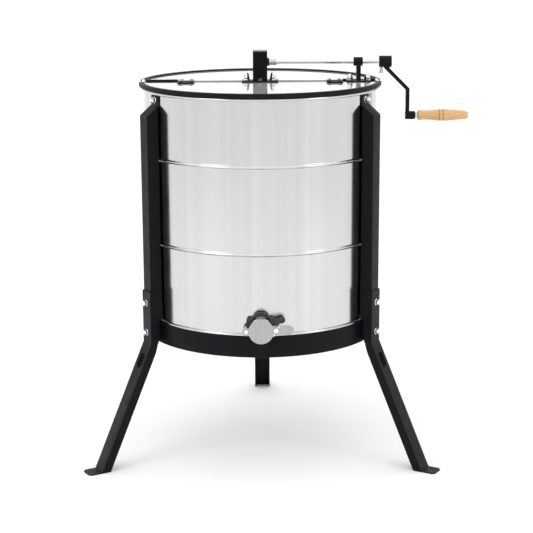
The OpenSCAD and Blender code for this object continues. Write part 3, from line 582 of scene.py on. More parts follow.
COAT = Paint("powder_coat", "black_paint", (0.003, 0.0034, 0.005), 0.42, shine=0.12)
CRANK_COAT = Paint("crank_coat", "black_paint", (0.0035, 0.0038, 0.005), 0.44, peel=500.0,
                   shine=0.12)
CAST = Paint("grey_casting", "dark_casting", (0.035, 0.037, 0.04), 0.48, 260.0, 0.0002, 0.4,
             (0.20, 0.20, 0.21), 0.04, 0.3)
HOUSING_CAST = Paint("housing_casting", "dark_casting", (0.15, 0.165, 0.155), 0.42, 300.0, 0.0001,
                     0.5, (0.4, 0.4, 0.4), 0.03, 0.5)
MOULDED = Paint("black_moulding", "black_plastic", (0.006, 0.006, 0.007), 0.48, 1200.0, 0.00003,
                0.2, (0.03, 0.03, 0.03), 0.02, 0.12)
ACRYLIC = Clear("clear_acrylic", "clear_sheet", (0.98, 0.995, 0.99), 0.02)


# ---------------------------------------------------------------- mesh helpers


class Shop:
    """Workshop of mesh operators: every method makes or shapes a bmesh."""

    @staticmethod
    def lathe(profile: Sequence[Point], steps: int, closed: bool = True) -> bmesh.types.BMesh:
        """Turns a profile about Z.

        Args:
            profile: Radius and height of each point.
            steps: Number of steps round the turn.
            closed: True if the last point joins the first.

        Returns:
            The turned shape.
        """
        bm = bmesh.new()
        verts = [bm.verts.new((r, 0.0, z)) for r, z in profile]
        pairs = list(zip(verts, verts[1:])) + ([(verts[-1], verts[0])] if closed else [])
        edges = [bm.edges.new(pair) for pair in pairs]
        bmesh.ops.spin(bm, geom=verts + edges, cent=(0, 0, 0), axis=(0, 0, 1), angle=TURN,
                       steps=steps, use_merge=True)
        bmesh.ops.remove_doubles(bm, verts=bm.verts, dist=1e-6)
        bmesh.ops.dissolve_degenerate(bm, edges=bm.edges, dist=1e-7)
        bmesh.ops.recalc_face_normals(bm, faces=bm.faces)
        return bm

    @staticmethod
    def peg(radius: float, depth: float, segments: int) -> bmesh.types.BMesh:
        """Closed straight peg round Z, with its middle at the origin."""
        bm = bmesh.new()
        bmesh.ops.create_cone(bm, cap_ends=True, segments=segments, radius1=radius,
                              radius2=radius, depth=depth)
        return bm

    @staticmethod
    def slab(outline: Sequence[Point], thick: float) -> bmesh.types.BMesh:
        """Flat plate on Z = 0 with the given outline.

        Args:
            outline: X and Y of each corner, in turn.
            thick: Thickness towards +Z.

        Returns:
            The plate.
        """
        bm = bmesh.new()
        face = bm.faces.new([bm.verts.new((x, y, 0.0)) for x, y in outline])
        pulled = bmesh.ops.extrude_face_region(bm, geom=[face])
        moved = [v for v in pulled["geom"] if isinstance(v, bmesh.types.BMVert)]
        bmesh.ops.translate(bm, verts=moved, vec=(0, 0, thick))
        bmesh.ops.recalc_face_normals(bm, faces=bm.faces)
        return bm

    @staticmethod
    def rounded(bm: bmesh.types.BMesh, width: float, segments: int = 2,
                sharper_than: float = 35.0) -> bmesh.types.BMesh:
        """Bevels the edges that are sharper than an angle.

        Args:
            bm: Shape to bevel.
            width: Width of the bevel.
            segments: Number of steps in the bevel.
            sharper_than: Angle in degrees.

        Returns:
            The same shape.
        """
        limit = math.radians(sharper_than)
        edges = [e for e in bm.edges if e.is_manifold and e.calc_face_angle(0.0) > limit]
        bmesh.ops.bevel(bm, geom=edges, offset=width, offset_type="OFFSET", segments=segments,
                        profile=0.5, affect="EDGES", clamp_overlap=True, material=-1)
        return bm

    @staticmethod
    def joined(parts: Iterable[bmesh.types.BMesh]) -> bmesh.types.BMesh:
        """Puts several shapes into one, and frees them.

        Args:
            parts: Shapes to put together.

        Returns:
            The shape that holds them all.
        """
        whole = bmesh.new()
        for part in parts:
            mesh = bpy.data.meshes.new("part")
            part.to_mesh(mesh)
            part.free()
            whole.from_mesh(mesh)
            bpy.data.meshes.remove(mesh)
        return whole

    @staticmethod
    def put(bm: bmesh.types.BMesh, place: Matrix) -> bmesh.types.BMesh:
        """Moves a shape by a matrix, and turns its faces right if the matrix mirrors."""
        bmesh.ops.transform(bm, matrix=place, verts=bm.verts)
        if place.determinant() < 0:
            bmesh.ops.reverse_faces(bm, faces=bm.faces)
        return bm

    @staticmethod
    def wires(paths: Sequence[Sequence[Point]], radius: float, sides: int = 8,
              closed: bool = False) -> bmesh.types.BMesh:
        """Round wire along each path, through a curve that is turned into a mesh.

        Args:
            paths: Points of each wire.
            radius: Radius of the wire.
            sides: Number of sides, a multiple of four.
            closed: True for loops.

        Returns:
            The wires.
        """
        curve = bpy.data.curves.new("wire", "CURVE")
        curve.dimensions = "3D"
        curve.bevel_depth = radius
        curve.bevel_resolution = max(0, sides // 4 - 1) if sides > 4 else 0
        curve.use_fill_caps = not closed
        for path in paths:
            line = curve.splines.new("POLY")
            line.points.add(len(path) - 1)
            for place, point in zip(line.points, path):
                place.co = (*point, 1.0)
            line.use_cyclic_u = closed
        holder = bpy.data.objects.new("wire", curve)
        bpy.context.scene.collection.objects.link(holder)
        seen = holder.evaluated_get(bpy.context.evaluated_depsgraph_get())
        mesh = bpy.data.meshes.new_from_object(seen)
        bm = bmesh.new()
        bm.from_mesh(mesh)
        bpy.data.objects.remove(holder)
        bpy.data.curves.remove(curve)
        bpy.data.meshes.remove(mesh)
        bmesh.ops.remove_doubles(bm, verts=bm.verts, dist=1e-7)
        bmesh.ops.recalc_face_normals(bm, faces=bm.faces)
        return bm

    @staticmethod
    def copy_of(node: bpy.types.Object) -> bmesh.types.BMesh:
        """Copy of a CAD node with its loose triangles merged and its flat faces made whole."""
        bm = bmesh.new()
        bm.from_mesh(node.data)
        bmesh.ops.remove_doubles(bm, verts=bm.verts, dist=2e-6)
        bmesh.ops.dissolve_degenerate(bm, edges=bm.edges, dist=1e-7)
        bmesh.ops.dissolve_limit(bm, angle_limit=math.radians(0.6), verts=bm.verts,
                                 edges=bm.edges, delimit={"NORMAL"})
        return bm

    @staticmethod
    def held(bm: bmesh.types.BMesh, name: str) -> bpy.types.Object:
        """Object that holds a shape; the shape is freed."""
        mesh = bpy.data.meshes.new(name)
        bm.to_mesh(mesh)
        bm.free()
        made = bpy.data.objects.new(name, mesh)
        bpy.context.scene.collection.objects.link(made)
        return made

    @staticmethod
    def dropped(holder: bpy.types.Object) -> None:
        """Removes an object together with its mesh."""
        mesh = holder.data
        bpy.data.objects.remove(holder)
        bpy.data.meshes.remove(mesh)

    @staticmethod
    def cut(piece: bpy.types.Object, cutters: Sequence[bmesh.types.BMesh]) -> None:
        """Takes shapes out of a piece's mesh.

        Args:
            piece: Piece to cut.
            cutters: Closed shapes to take away.
        """
        holder = Shop.held(Shop.joined(cutters), "cutter")
        away = piece.modifiers.new("cut", "BOOLEAN")
        away.operation, away.solver, away.object = "DIFFERENCE", "EXACT", holder
        seen = piece.evaluated_get(bpy.context.evaluated_depsgraph_get())
        shaped = bpy.data.meshes.new_from_object(seen)
        piece.modifiers.clear()
        old, piece.data = piece.data, shaped
        bpy.data.meshes.remove(old)
        Shop.dropped(holder)


@dataclass
class Builder:
    """Turns shapes into finished pieces of the frame.

    Attributes:
        count: Number of pieces made.
    """

    frame: dict[str, Any]
    count: int = 0

    def piece(self, name: str, bm: bmesh.types.BMesh, finish: Finish, body: str,
              stands_for: Sequence[str] = (), smooth: float = 30.0) -> bpy.types.Object:
        """Makes a piece from a shape.

        Args:
            name: Name of the piece.
            bm: Its shape, in place; it is freed.
            finish: Its finish.
            body: Body that it rides on.
            stands_for: CAD nodes that it replaces.
            smooth: Edges sharper than this angle stay sharp, in degrees.

        Returns:
            The piece.
        """
        made = Shop.held(bm, name)
        mesh = made.data
        self.shade(made, smooth)
        mesh.materials.clear()
        mesh.materials.append(finish.material())
        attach(made, body)
        if stands_for:
            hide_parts(*stands_for)
        self.count += 1
        LOG.info("piece %s on %s: %d faces", name, body, len(mesh.polygons))
        return made

    @staticmethod
    def shade(made: bpy.types.Object, smooth: float) -> None:
        """Shades a piece smooth, apart from edges that are sharper than an angle in degrees."""
        mesh = made.data
        mesh.polygons.foreach_set("use_smooth", [True] * len(mesh.polygons))
        mesh.set_sharp_from_angle(angle=math.radians(smooth))

    def softened(self, node: str, finish: Finish, body: str, width: float,
                 segments: int = 2) -> bpy.types.Object:
        """Replaces a CAD node by a copy with rounded edges.

        Args:
            node: Name of the node.
            finish: Finish of the copy.
            body: Body that it rides on.
            width: Width of the rounding, in metres.
            segments: Number of steps in the rounding.

        Returns:
            The copy.
        """
        bm = Shop.copy_of(self.frame["nodes"][node])
        made = self.piece(f"{node}_finished", bm, finish, body, [node])
        soft = made.modifiers.new("rounded edges", "BEVEL")
        soft.width, soft.segments, soft.limit_method = width, segments, "ANGLE"
        soft.angle_limit = SOFT_EDGE
        soft.harden_normals = True
        soft.use_clamp_overlap = True
        soft.miter_outer = "MITER_ARC"
        return made

    def soften(self, body: str, *rows: tuple[Any, ...]) -> None:
        """Replaces several CAD nodes of one body by copies with rounded edges.

        Args:
            body: Body that they ride on.
            *rows: Node, finish and width in mm, then the number of steps where it isn't two.
        """
        for node, finish, width, *steps in rows:
            self.softened(node, finish, body, width * MM, *steps)

    def dressed(self, finish: Finish, *nodes: str) -> None:
        """Gives CAD nodes that stay as they are their finish."""
        for node in nodes:
            slots = self.frame["nodes"][node].data.materials
            slots.clear()
            slots.append(finish.material())


def turned(z_to: Point, at: Point, roll: float = 0.0) -> Matrix:
    """Matrix that lays +Z along a direction and moves the origin to a place.

    Args:
        z_to: Direction for +Z.
        at: Place for the origin.
        roll: Turn about Z first, in radians.

    Returns:
        The matrix.
    """
    lay = Vector(z_to).to_track_quat("Z", "Y").to_matrix().to_4x4()
    return Matrix.Translation(Vector(at)) @ lay @ Matrix.Rotation(roll, 4, "Z")


# ---------------------------------------------------------------- hardware


@dataclass(frozen=True)
class Hardware:
    """Nuts, bolts and screws that several sub-assemblies share.

    Attributes:
        steps: Steps round a small turned part.
    """

    steps: int = 40

    def ring_of(self, inner: float, outer: float, low: float, high: float) -> bmesh.types.BMesh:
        """Flat washer with eased edges, from its radii and its heights."""
        ease = min(0.3 * MM, (high - low) / 3)
        return Shop.lathe([(inner, low), (outer - ease, low), (outer, low + ease),
                           (outer, high - ease), (outer - ease, high), (inner, high)], self.steps)

    def hexagon(self, across: float, low: float, high: float,
                chamfer: bool = True) -> bmesh.types.BMesh:
        """Hexagonal body with its corners turned down at the top.

        Args:
            across: Size across the flats.
            low: Lower end.
            high: Upper end.
            chamfer: True to turn down the upper corners.

        Returns:
            The body.
        """
        corner = across / math.sqrt(3)
        bm = Shop.peg(corner, high - low, 6)
        bmesh.ops.translate(bm, verts=bm.verts, vec=(0, 0, (low + high) / 2))
        if chamfer:
            top = [v for v in bm.verts if v.co.z > high - 1e-6]
            bmesh.ops.bevel(bm, geom=top, offset=corner * 0.16, offset_type="OFFSET", segments=1,
                            profile=0.5, affect="VERTICES", clamp_overlap=True, material=-1)
        return Shop.rounded(bm, 0.22 * MM, 2, 20.0)

    def cap_nut(self, across: float, washer: float, neck: float) -> bmesh.types.BMesh:
        """Domed cap nut on a washer, standing on Z = 0.

        Args:
            across: Size across the flats.
            washer: Thickness of the washer.
            neck: Height of the plain part under the dome.

        Returns:
            The nut and its washer.
        """
        half, top = across * 0.46, washer + across / 2 + neck
        dome = arc((0.0, top), half, range(0, 82, 9))
        low = washer + across * 0.3
        body = [(0.0, low), (half, low), (half, top - 0.01 * MM), *dome[:-1], (0.0, top + half)]
        return Shop.joined([
            self.ring_of(across * 0.28, across * 0.62, 0.0, washer),
            self.hexagon(across, washer, washer + across / 2),
            Shop.lathe(body, self.steps, closed=False)])

    def round_head(self, radius: float, high: float, length: float,
                   shank: float) -> bmesh.types.BMesh:
        """Low round bolt head that hangs under Z = 0, with its shank going up.

        Args:
            radius: Radius of the head.
            high: Height of the head.
            length: Length of the shank above the head.
            shank: Radius of the shank.

        Returns:
            The bolt.
        """
        curve = [(radius * math.cos(a), -high * math.sin(a))
                 for a in (math.radians(15 * k) for k in range(6))]
        return Shop.lathe([(0.0, length), (shank, length), (shank, 0.0), *curve, (0.0, -high)],
                          self.steps, closed=False)

    def threaded(self, radius: float, low: float, high: float, pitch: float) -> bmesh.types.BMesh:
        """Stud with the ridges of a thread.

        Args:
            radius: Outer radius.
            low: Lower end.
            high: Upper end.
            pitch: Distance between ridges.

        Returns:
            The stud.
        """
        depth = pitch * 0.5
        turns = max(2, int((high - low - pitch) / pitch))
        profile = [(0.0, low), (radius - depth, low)]
        for k in range(turns):
            z = low + pitch * (k + 0.25)
            profile += [(radius - depth, z), (radius, z + pitch * 0.4), (radius, z + pitch * 0.5),
                        (radius - depth, z + pitch * 0.9)]
        profile += [(radius - depth, high), (0.0, high)]
        return Shop.lathe(profile, self.steps, closed=False)

    def screw_head(self, radius: float, high: float) -> bmesh.types.BMesh:
        """Domed pan head on Z = 0 with a cross sunk in.

        Args:
            radius: Radius of the head.
            high: Height of the head.

        Returns:
            The head.
        """
        curve = [(radius * math.cos(a) ** 0.6, high * (0.35 + 0.65 * math.sin(a)))
                 for a in (math.radians(12 * k) for k in range(7))]
        head = Shop.lathe([(0.0, 0.0), (radius, 0.0), *curve, (0.0, high)], self.steps,
                          closed=False)
        holder = Shop.held(head, "head")
        for turn in (0.0, math.pi / 2):
            bar = bmesh.new()
            bmesh.ops.create_cube(bar, size=1.0)
            bmesh.ops.scale(bar, verts=bar.verts, vec=(radius * 1.15, radius * 0.26, high))
            Shop.cut(holder, [Shop.put(bar, Matrix.Rotation(turn + 0.4, 4, "Z")
                                       @ Matrix.Translation((0, 0, high * 1.02)))])
        made = bmesh.new()
        made.from_mesh(holder.data)
        Shop.dropped(holder)
        return made


PARTS = Hardware()


# ---------------------------------------------------------------- sub-assemblies


@dataclass
class Drum:
    """Drum wall, floor and base ring.

    Attributes:
        radius: Outer radius of the wall.
        sheet: Thickness of the sheet.
        low: Lower edge of the wall.
        rim: Height of the rim bead's centre.
        bead: Radius of the rim bead.
        ribs: Heights of the swaged ribs.
        rib_out: How far a rib stands out.
        rib_half: Half the height of a rib.
        steps: Steps round the drum.
        gate_z: Height of the gate's axis.
        gate_hole: Radius of the opening behind the gate.
        bolt_hole: Radius of the holes for the tabs' bolts.
        hem: Radius and height of the hem bead's centre.
        hem_bead: Radius of the hem bead.
        seam_angle: Where the weld runs up the wall.
    """

    radius: float = 280 * MM
    sheet: float = 1.2 * MM
    low: float = 330 * MM
    rim: float = 897 * MM
    bead: float = 4 * MM
    ribs: tuple[float, float] = (541.5 * MM, 743.5 * MM)
    rib_out: float = 3.6 * MM
    rib_half: float = 5 * MM
    steps: int = 256
    gate_z: float = GATE_Z
    gate_hole: float = 19.2 * MM
    bolt_hole: float = 4.2 * MM
    hem: tuple[float, float] = (282.2 * MM, 353.2 * MM)
    hem_bead: float = 3 * MM
    seam_angle: float = math.radians(38)

    def swell(self, z: float) -> float:
        """How far the wall stands out at a height, from its ribs."""
        shares = (min(1.0, abs(z - rib) / self.rib_half) for rib in self.ribs)
        return sum(self.rib_out * 0.5 * (1 + math.cos(math.pi * share)) for share in shares)

    def wall_line(self) -> list[tuple[float, float]]:
        """Radius and height of points up the wall's outer face."""
        stops = [self.low, self.low + 60 * MM]
        for rib in self.ribs:
            stops += [rib + self.rib_half * k / 8 for k in range(-9, 10)]
            stops += [rib + 40 * MM, rib + 90 * MM]
        stops = sorted(z for z in stops if z < self.rim - 6 * MM)
        return [(self.radius + self.swell(z), z) for z in [*stops, self.rim - 5 * MM]]

    def wall(self, build: Builder) -> None:
        """Wall with its rolled rim, hem bead, gate opening and bolt holes."""
        outer = self.wall_line()
        centre = self.radius - self.sheet + self.bead
        start = (self.radius, self.rim - 3.2 * MM)
        curl = arc((centre, self.rim), self.bead, range(-118, 169, 22))
        under = (self.radius - self.sheet, self.rim - 3 * MM)
        inner = [(r - self.sheet, z) for r, z in reversed(outer)]
        bm = Shop.lathe([*outer, start, *curl, under, *inner], self.steps)
        piece = build.piece("drum_wall_sheet", bm, SHEET, "stand", ["drum_wall"])
        cutters = [Shop.put(Shop.peg(self.gate_hole, 30 * MM, 64),
                            turned((0, -1, 0), (0, -self.radius, self.gate_z)))]
        for angle in LEG_ANGLES:
            out = Vector((math.cos(angle), math.sin(angle), 0.0))
            at = out * self.radius + Vector((0, 0, TAB_BOLT_Z))
            cutters.append(Shop.put(Shop.peg(self.bolt_hole, 20 * MM, 32), turned(out, at)))
        Shop.cut(piece, cutters)
        build.shade(piece, 30.0)
        hem = Shop.lathe(arc(self.hem, self.hem_bead, range(0, 337, 24)), self.steps)
        build.piece("drum_hem_bead", hem, SHEET, "stand")

    def seam(self, build: Builder) -> None:
        """Ground weld line up the back of the wall."""
        across, along = math.cos(self.seam_angle), math.sin(self.seam_angle)
        points = [((r + 0.05 * MM) * across, (r + 0.05 * MM) * along, z)
                  for r, z in self.wall_line() if z > 358 * MM]
        build.piece("drum_wall_seam", Shop.wires([points], 0.8 * MM, 8), SATIN, "stand")

    def floor(self, build: Builder) -> None:
        """Low cone of a floor with a pressed centre and a pressed ring."""
        edge, t = self.radius - self.sheet - 0.2 * MM, self.sheet
        top = in_mm((0.0, 385), (36, 385), (39, 384.8), (43, 384.2))
        slope = (352 - 385) / (278.6 - 40)
        top += [(r * MM, (385 + slope * (r - 40) + rise) * MM)
                for r, rise in ((60, 0), (262, 0), (266, 0.1), (270, 0.2))]
        top += [(edge, 352 * MM)]
        bottom = [(r, z - t) for r, z in reversed(top)]
        bm = Shop.lathe([*top, *bottom], 192, closed=False)
        build.piece("drum_floor_sheet", bm, FLOOR_SHEET, "stand", ["drum_floor"])

    def ring(self, build: Builder) -> None:
        """Black ring under the drum, with rolled edges, and its brackets with rounded edges."""
        r, t, low, high = 286 * MM, 3 * MM, 300 * MM, 350 * MM
        e = 1.0 * MM
        line = [(r - e, low), (r - e * 0.3, low + e * 0.3), (r, low + e), (r, high - e),
                (r - e * 0.3, high - e * 0.3), (r - e, high), (r - t + e, high),
                (r - t + e * 0.3, high - e * 0.3), (r - t, high - e), (r - t, low + e),
                (r - t + e * 0.3, low + e * 0.3), (r - t + e, low)]
        build.piece("base_ring_band", Shop.lathe(line, self.steps), COAT, "stand", ["base_ring"])
        build.soften("stand", ("ring_brackets", COAT, 1.0))

    def build(self, build: Builder) -> None:
        """Builds the drum's pieces."""
        self.wall(build)
        self.seam(build)
        self.floor(build)
        self.ring(build)


@dataclass
class Legs:
    """Three legs of bent channel with their bolts.

    Attributes:
        bolt_heights: Heights of the bolts through a foot.
        foot_r: Distance of the foot's web from the drum's axis.
        tab_r: Distance of the tab's outer face from the drum's axis.
        tab_z: Height of the tab's bolt.
        post_in: Distance of the post's inner face from the drum's axis, in mm.
        bracket: Thickness of the ring's bracket and its gap, in mm.
    """

    bolt_heights: tuple[float, float] = (399 * MM, 327 * MM)
    foot_r: float = 316 * MM
    tab_r: float = 282.8 * MM
    tab_z: float = TAB_BOLT_Z
    post_in: float = 313 - 2.5 - 0.2
    bracket: float = 2.7

    def channels(self, build: Builder) -> None:
        """Posts and feet with the rounded corners of bent sheet."""
        for name in LEG_NAMES:
            build.soften("stand", (f"leg_post_{name}", COAT, 0.9, 3),
                         (f"leg_foot_{name}", COAT, 0.9, 3))

    def bolts(self, build: Builder) -> None:
        """Cap nuts outside, heads inside and shanks between."""
        side, top = [], []
        for number, angle in enumerate(LEG_ANGLES):
            out = Vector((math.cos(angle), math.sin(angle), 0.0))
            for place, z in enumerate(self.bolt_heights):
                at = out * (self.foot_r + 0.1 * MM) + Vector((0, 0, z))
                roll = 0.35 + number * 0.6 + place * 0.9
                side.append(Shop.put(PARTS.cap_nut(13 * MM, 1.4 * MM, 0.0), turned(out, at, roll)))
                inner = self.post_in - (self.bracket if place else 0.0)
                back = out * inner * MM + Vector((0, 0, z))
                side.append(Shop.put(PARTS.hexagon(13 * MM, 0.0, 5.3 * MM),
                                     turned(-out, back, roll + 0.2)))
                side.append(Shop.put(PARTS.threaded(3.9 * MM, 0.0, self.foot_r - inner * MM
                                                    + 1.5 * MM, 1.25 * MM), turned(out, back)))
            at = out * self.tab_r + Vector((0, 0, self.tab_z))
            top.append(Shop.put(PARTS.cap_nut(13 * MM, 1.2 * MM, 0.0),
                                turned(out, at, number * 0.5)))
            inside = out * 277.0 * MM + Vector((0, 0, self.tab_z))
            top.append(Shop.put(PARTS.round_head(6.2 * MM, 3 * MM, 7 * MM, 3.9 * MM),
                                turned(out, inside)))
        build.piece("leg_cap_nuts", Shop.joined(side), PLATED, "stand", ["leg_bolts"])
        build.piece("leg_tab_cap_nuts", Shop.joined(top), PLATED, "stand", ["leg_top_nuts"])

    def build(self, build: Builder) -> None:
        """Builds the legs' pieces."""
        self.channels(build)
        self.bolts(build)


@dataclass
class Bridge:
    """Crossbar with the mast, the shaft bracket and their fasteners.

    Attributes:
        bar_high: Top of the crossbar.
        mast_nuts: Places of the mast's nuts along X.
        bracket_nuts: Places of the bracket's nuts along X.
        end_nuts: Places of the nuts at the bar's ends.
    """

    bar_high: float = 905 * MM
    mast_nuts: tuple[float, float] = (-33 * MM, 31 * MM)
    bracket_nuts: tuple[float, float] = (216 * MM, 258 * MM)
    end_nuts: tuple[float, float] = (-281 * MM, 281 * MM)

    def nut_pair(self, places: Sequence[float], z: float, washer: float, neck: float,
                 across: float, grip: float, head: float) -> bmesh.types.BMesh:
        """Cap nuts on bolts that clamp a stack under a height.

        Args:
            places: Places along X.
            z: Height that the washers stand on.
            washer: Thickness of the washers.
            neck: Height of the plain part under the dome.
            across: Size across the flats.
            grip: Thickness of the stack.
            head: Height of the head below it, or 0.

        Returns:
            The nuts and their bolts.
        """
        parts = []
        for number, x in enumerate(places):
            parts.append(Shop.put(PARTS.cap_nut(across, washer, neck),
                                  turned((0, 0, 1), (x, 0, z), 0.3 + number * 0.45)))
            shank = across * 0.3
            wide = max(across * 0.48, shank + 0.01 * MM) if head else shank * 1.02
            parts.append(Shop.put(PARTS.round_head(wide, head or 0.3 * MM, grip, shank),
                                  turned((0, 0, 1), (x, 0, z - grip))))
        return Shop.joined(parts)

    def fasteners(self, build: Builder) -> None:
        """Cap nuts of the mast, the bracket and the bar's ends, and the mast's top screw."""
        mast = self.nut_pair(self.mast_nuts, 911.1 * MM, 3.6 * MM, 3.4 * MM, 13 * MM, 10.2 * MM,
                             4.5 * MM)
        bracket = self.nut_pair(self.bracket_nuts, 910.6 * MM, 1.6 * MM, 1.0 * MM, 13 * MM,
                                9.7 * MM, 4.5 * MM)
        build.piece("bridge_dome_nuts", Shop.joined([mast, bracket]), PLATED, "stand",
                    ["bridge_cap_nuts"])
        build.piece("bar_end_dome_nuts", self.nut_pair(self.end_nuts, self.bar_high, 0.8 * MM,
                    0.3 * MM, 9.5 * MM, 3.7 * MM, 0.0), PLATED, "stand", ["crossbar_end_nuts"])
        low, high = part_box("mast_top_screw")
        seat = high.z - 6.5 * MM
        head = Shop.joined([
            Shop.put(PARTS.screw_head(4.8 * MM, 6.5 * MM), Matrix.Translation((1 * MM, 0, seat))),
            Shop.put(PARTS.threaded(2.9 * MM, low.z, seat, 1.0 * MM),
                     Matrix.Translation((1 * MM, 0, 0)))])
        build.piece("mast_cross_screw", head, SATIN, "stand", ["mast_top_screw"])

    def build(self, build: Builder) -> None:
        """Builds the bridge's pieces."""
        build.soften("stand", ("crossbar", BAR_STEEL, 0.5), ("gear_mast", COAT, 0.7, 3),
                     ("shaft_bracket", CRANK_COAT, 0.9, 3), ("crank_bush", MOULDED, 0.4),
                     ("crossbar_seal_strips", MOULDED, 0.5),
                     ("top_bearing_housing", HOUSING_CAST, 0.5),
                     ("bottom_bearing_cup", CAST, 0.8))
        build.dressed(OILED, "thrust_balls")
        build.soften("stand", ("thrust_lower_race", OILED, 0.2))
        self.fasteners(build)


@dataclass
class Crank:
    """Crank shaft, arm and grip.

    Attributes:
        axis_z: Height of the shaft's axis.
        grip_z: Height of the grip's axis.
        grip_x: Near end of the grip.
        grip_r: Widest radius of the grip.
        grip_shape: Distance from the near end, in mm, and share of the widest radius.
        burnt: Places of the burnt rings from the near end.
    """

    axis_z: float = 955 * MM
    grip_z: float = 825 * MM
    grip_x: float = 380.3 * MM
    grip_r: float = 14 * MM
    grip_shape: tuple[tuple[float, float], ...] = (
        (0.0, 0.70), (0.8, 0.76), (3, 0.885), (5, 0.885), (9, 0.825), (17, 0.785), (28, 0.82),
        (40, 0.90), (52, 0.985), (60, 1.0), (70, 0.985), (84, 0.915), (98, 0.82), (108, 0.755),
        (114, 0.72), (118, 0.665), (120.6, 0.59), (122, 0.48))
    burnt: tuple[float, float] = (52 * MM, 61 * MM)

    def grip(self, build: Builder) -> None:
        """Turned wooden grip with two burnt grooves and a bore for its axle."""
        bore = 4.05 * MM
        cut = 1.0 * MM
        line: list[tuple[float, float]] = []
        shape = self.grip_shape
        for (a, ra), (b, rb) in zip(shape, shape[1:]):
            count = max(2, int((b - a) / 1.0))
            for k in range(count):
                t = k / count
                ease = (1 - math.cos(math.pi * t)) / 2 if b - a > 6 else t
                line.append(((ra + (rb - ra) * ease) * self.grip_r, (a + (b - a) * t) * MM))
        line.append((shape[-1][1] * self.grip_r, shape[-1][0] * MM))
        grooved = [(r - 0.55 * MM * sum(max(0.0, 1 - abs(z - g) / cut) for g in self.burnt), z)
                   for r, z in line]
        far = shape[-1][0] * MM
        profile = [(bore, 0.0), *grooved, (6.0 * MM, far), (6.0 * MM, far - 4 * MM),
                   (bore, far - 4 * MM)]
        bm = Shop.put(Shop.lathe(profile, 72), turned((1, 0, 0), (self.grip_x, 0, self.grip_z)))
        wood = Beech("lacquered_beech", "grip_beech", (0.66, 0.39, 0.165), 0.36,
                     burnt=tuple(self.grip_x + g for g in self.burnt), axis_z=self.grip_z)
        build.piece("turned_grip", bm, wood, "grip", ["wood_grip"])

    def collar(self, build: Builder) -> None:
        """Ribbed collar that is locked to the shaft by a set screw."""
        high, ribs = 17 * MM, 8
        profile = in_mm((5.1, 0.0), (7.4, 0.0), (8, 0.6))
        for k in range(ribs):
            z = 1.6 * MM + k * 1.75 * MM
            profile += [(8 * MM, z), (7.45 * MM, z + 0.35 * MM), (7.45 * MM, z + 0.75 * MM),
                        (8 * MM, z + 1.1 * MM)]
        profile += [(8 * MM, high - 0.6 * MM), (7.4 * MM, high), (5.1 * MM, high)]
        bm = Shop.put(Shop.lathe(profile, 64), turned((1, 0, 0), (21.8 * MM, 0, self.axis_z)))
        build.piece("ribbed_collar", bm, SATIN, "crank", ["shaft_collar"])

    def wing_screw(self, build: Builder) -> None:
        """Wing screw under the hub, with two rounded ears."""
        x = 291.5 * MM
        ears = []
        for side in (-1, 1):
            outline = [(0.0, -2.4), (1.8, -3.6), (3.4, -5.2), (4.6, -5.5), (5.2, -4.2), (4.9, -1.2),
                       (3.8, 1.6), (2.4, 3.6), (0.0, 4.4)]
            ear = Shop.slab(in_mm(*((side * px, py) for px, py in outline)), 2.4 * MM)
            Shop.rounded(ear, 0.7 * MM, 3, 30)
            ears.append(Shop.put(ear, Matrix.Translation((x, 1.2 * MM, 932 * MM))
                                 @ Matrix.Rotation(math.pi / 2, 4, "X")))
        stud = Shop.put(PARTS.threaded(3.0 * MM, 933 * MM, 949.4 * MM, 1.0 * MM),
                        Matrix.Translation((x, 0, 0)))
        neck = Shop.lathe(in_mm((0.0, 927.5), (2.6, 927.5), (3.2, 928.5), (3.6, 936.6),
                                (3.1, 937.4), (0.0, 937.4)), 32, closed=False)
        Shop.put(neck, Matrix.Translation((x, 0, 0)))
        build.piece("wing_screw", Shop.joined([*ears, stud, neck]), ZINC, "thumb_screw",
                    ["thumb_screw"])

    def build(self, build: Builder) -> None:
        """Builds the crank's pieces."""
        build.soften("crank", ("crank_shaft", GROUND_SHAFT, 0.6),
                     ("crank_arm", CRANK_COAT, 1.0, 3), ("grip_axle", SATIN, 0.4),
                     ("grip_washer", ZINC, 0.5), ("crank_gear", OILED, 0.12, 1))
        self.grip(build)
        self.collar(build)
        self.wing_screw(build)


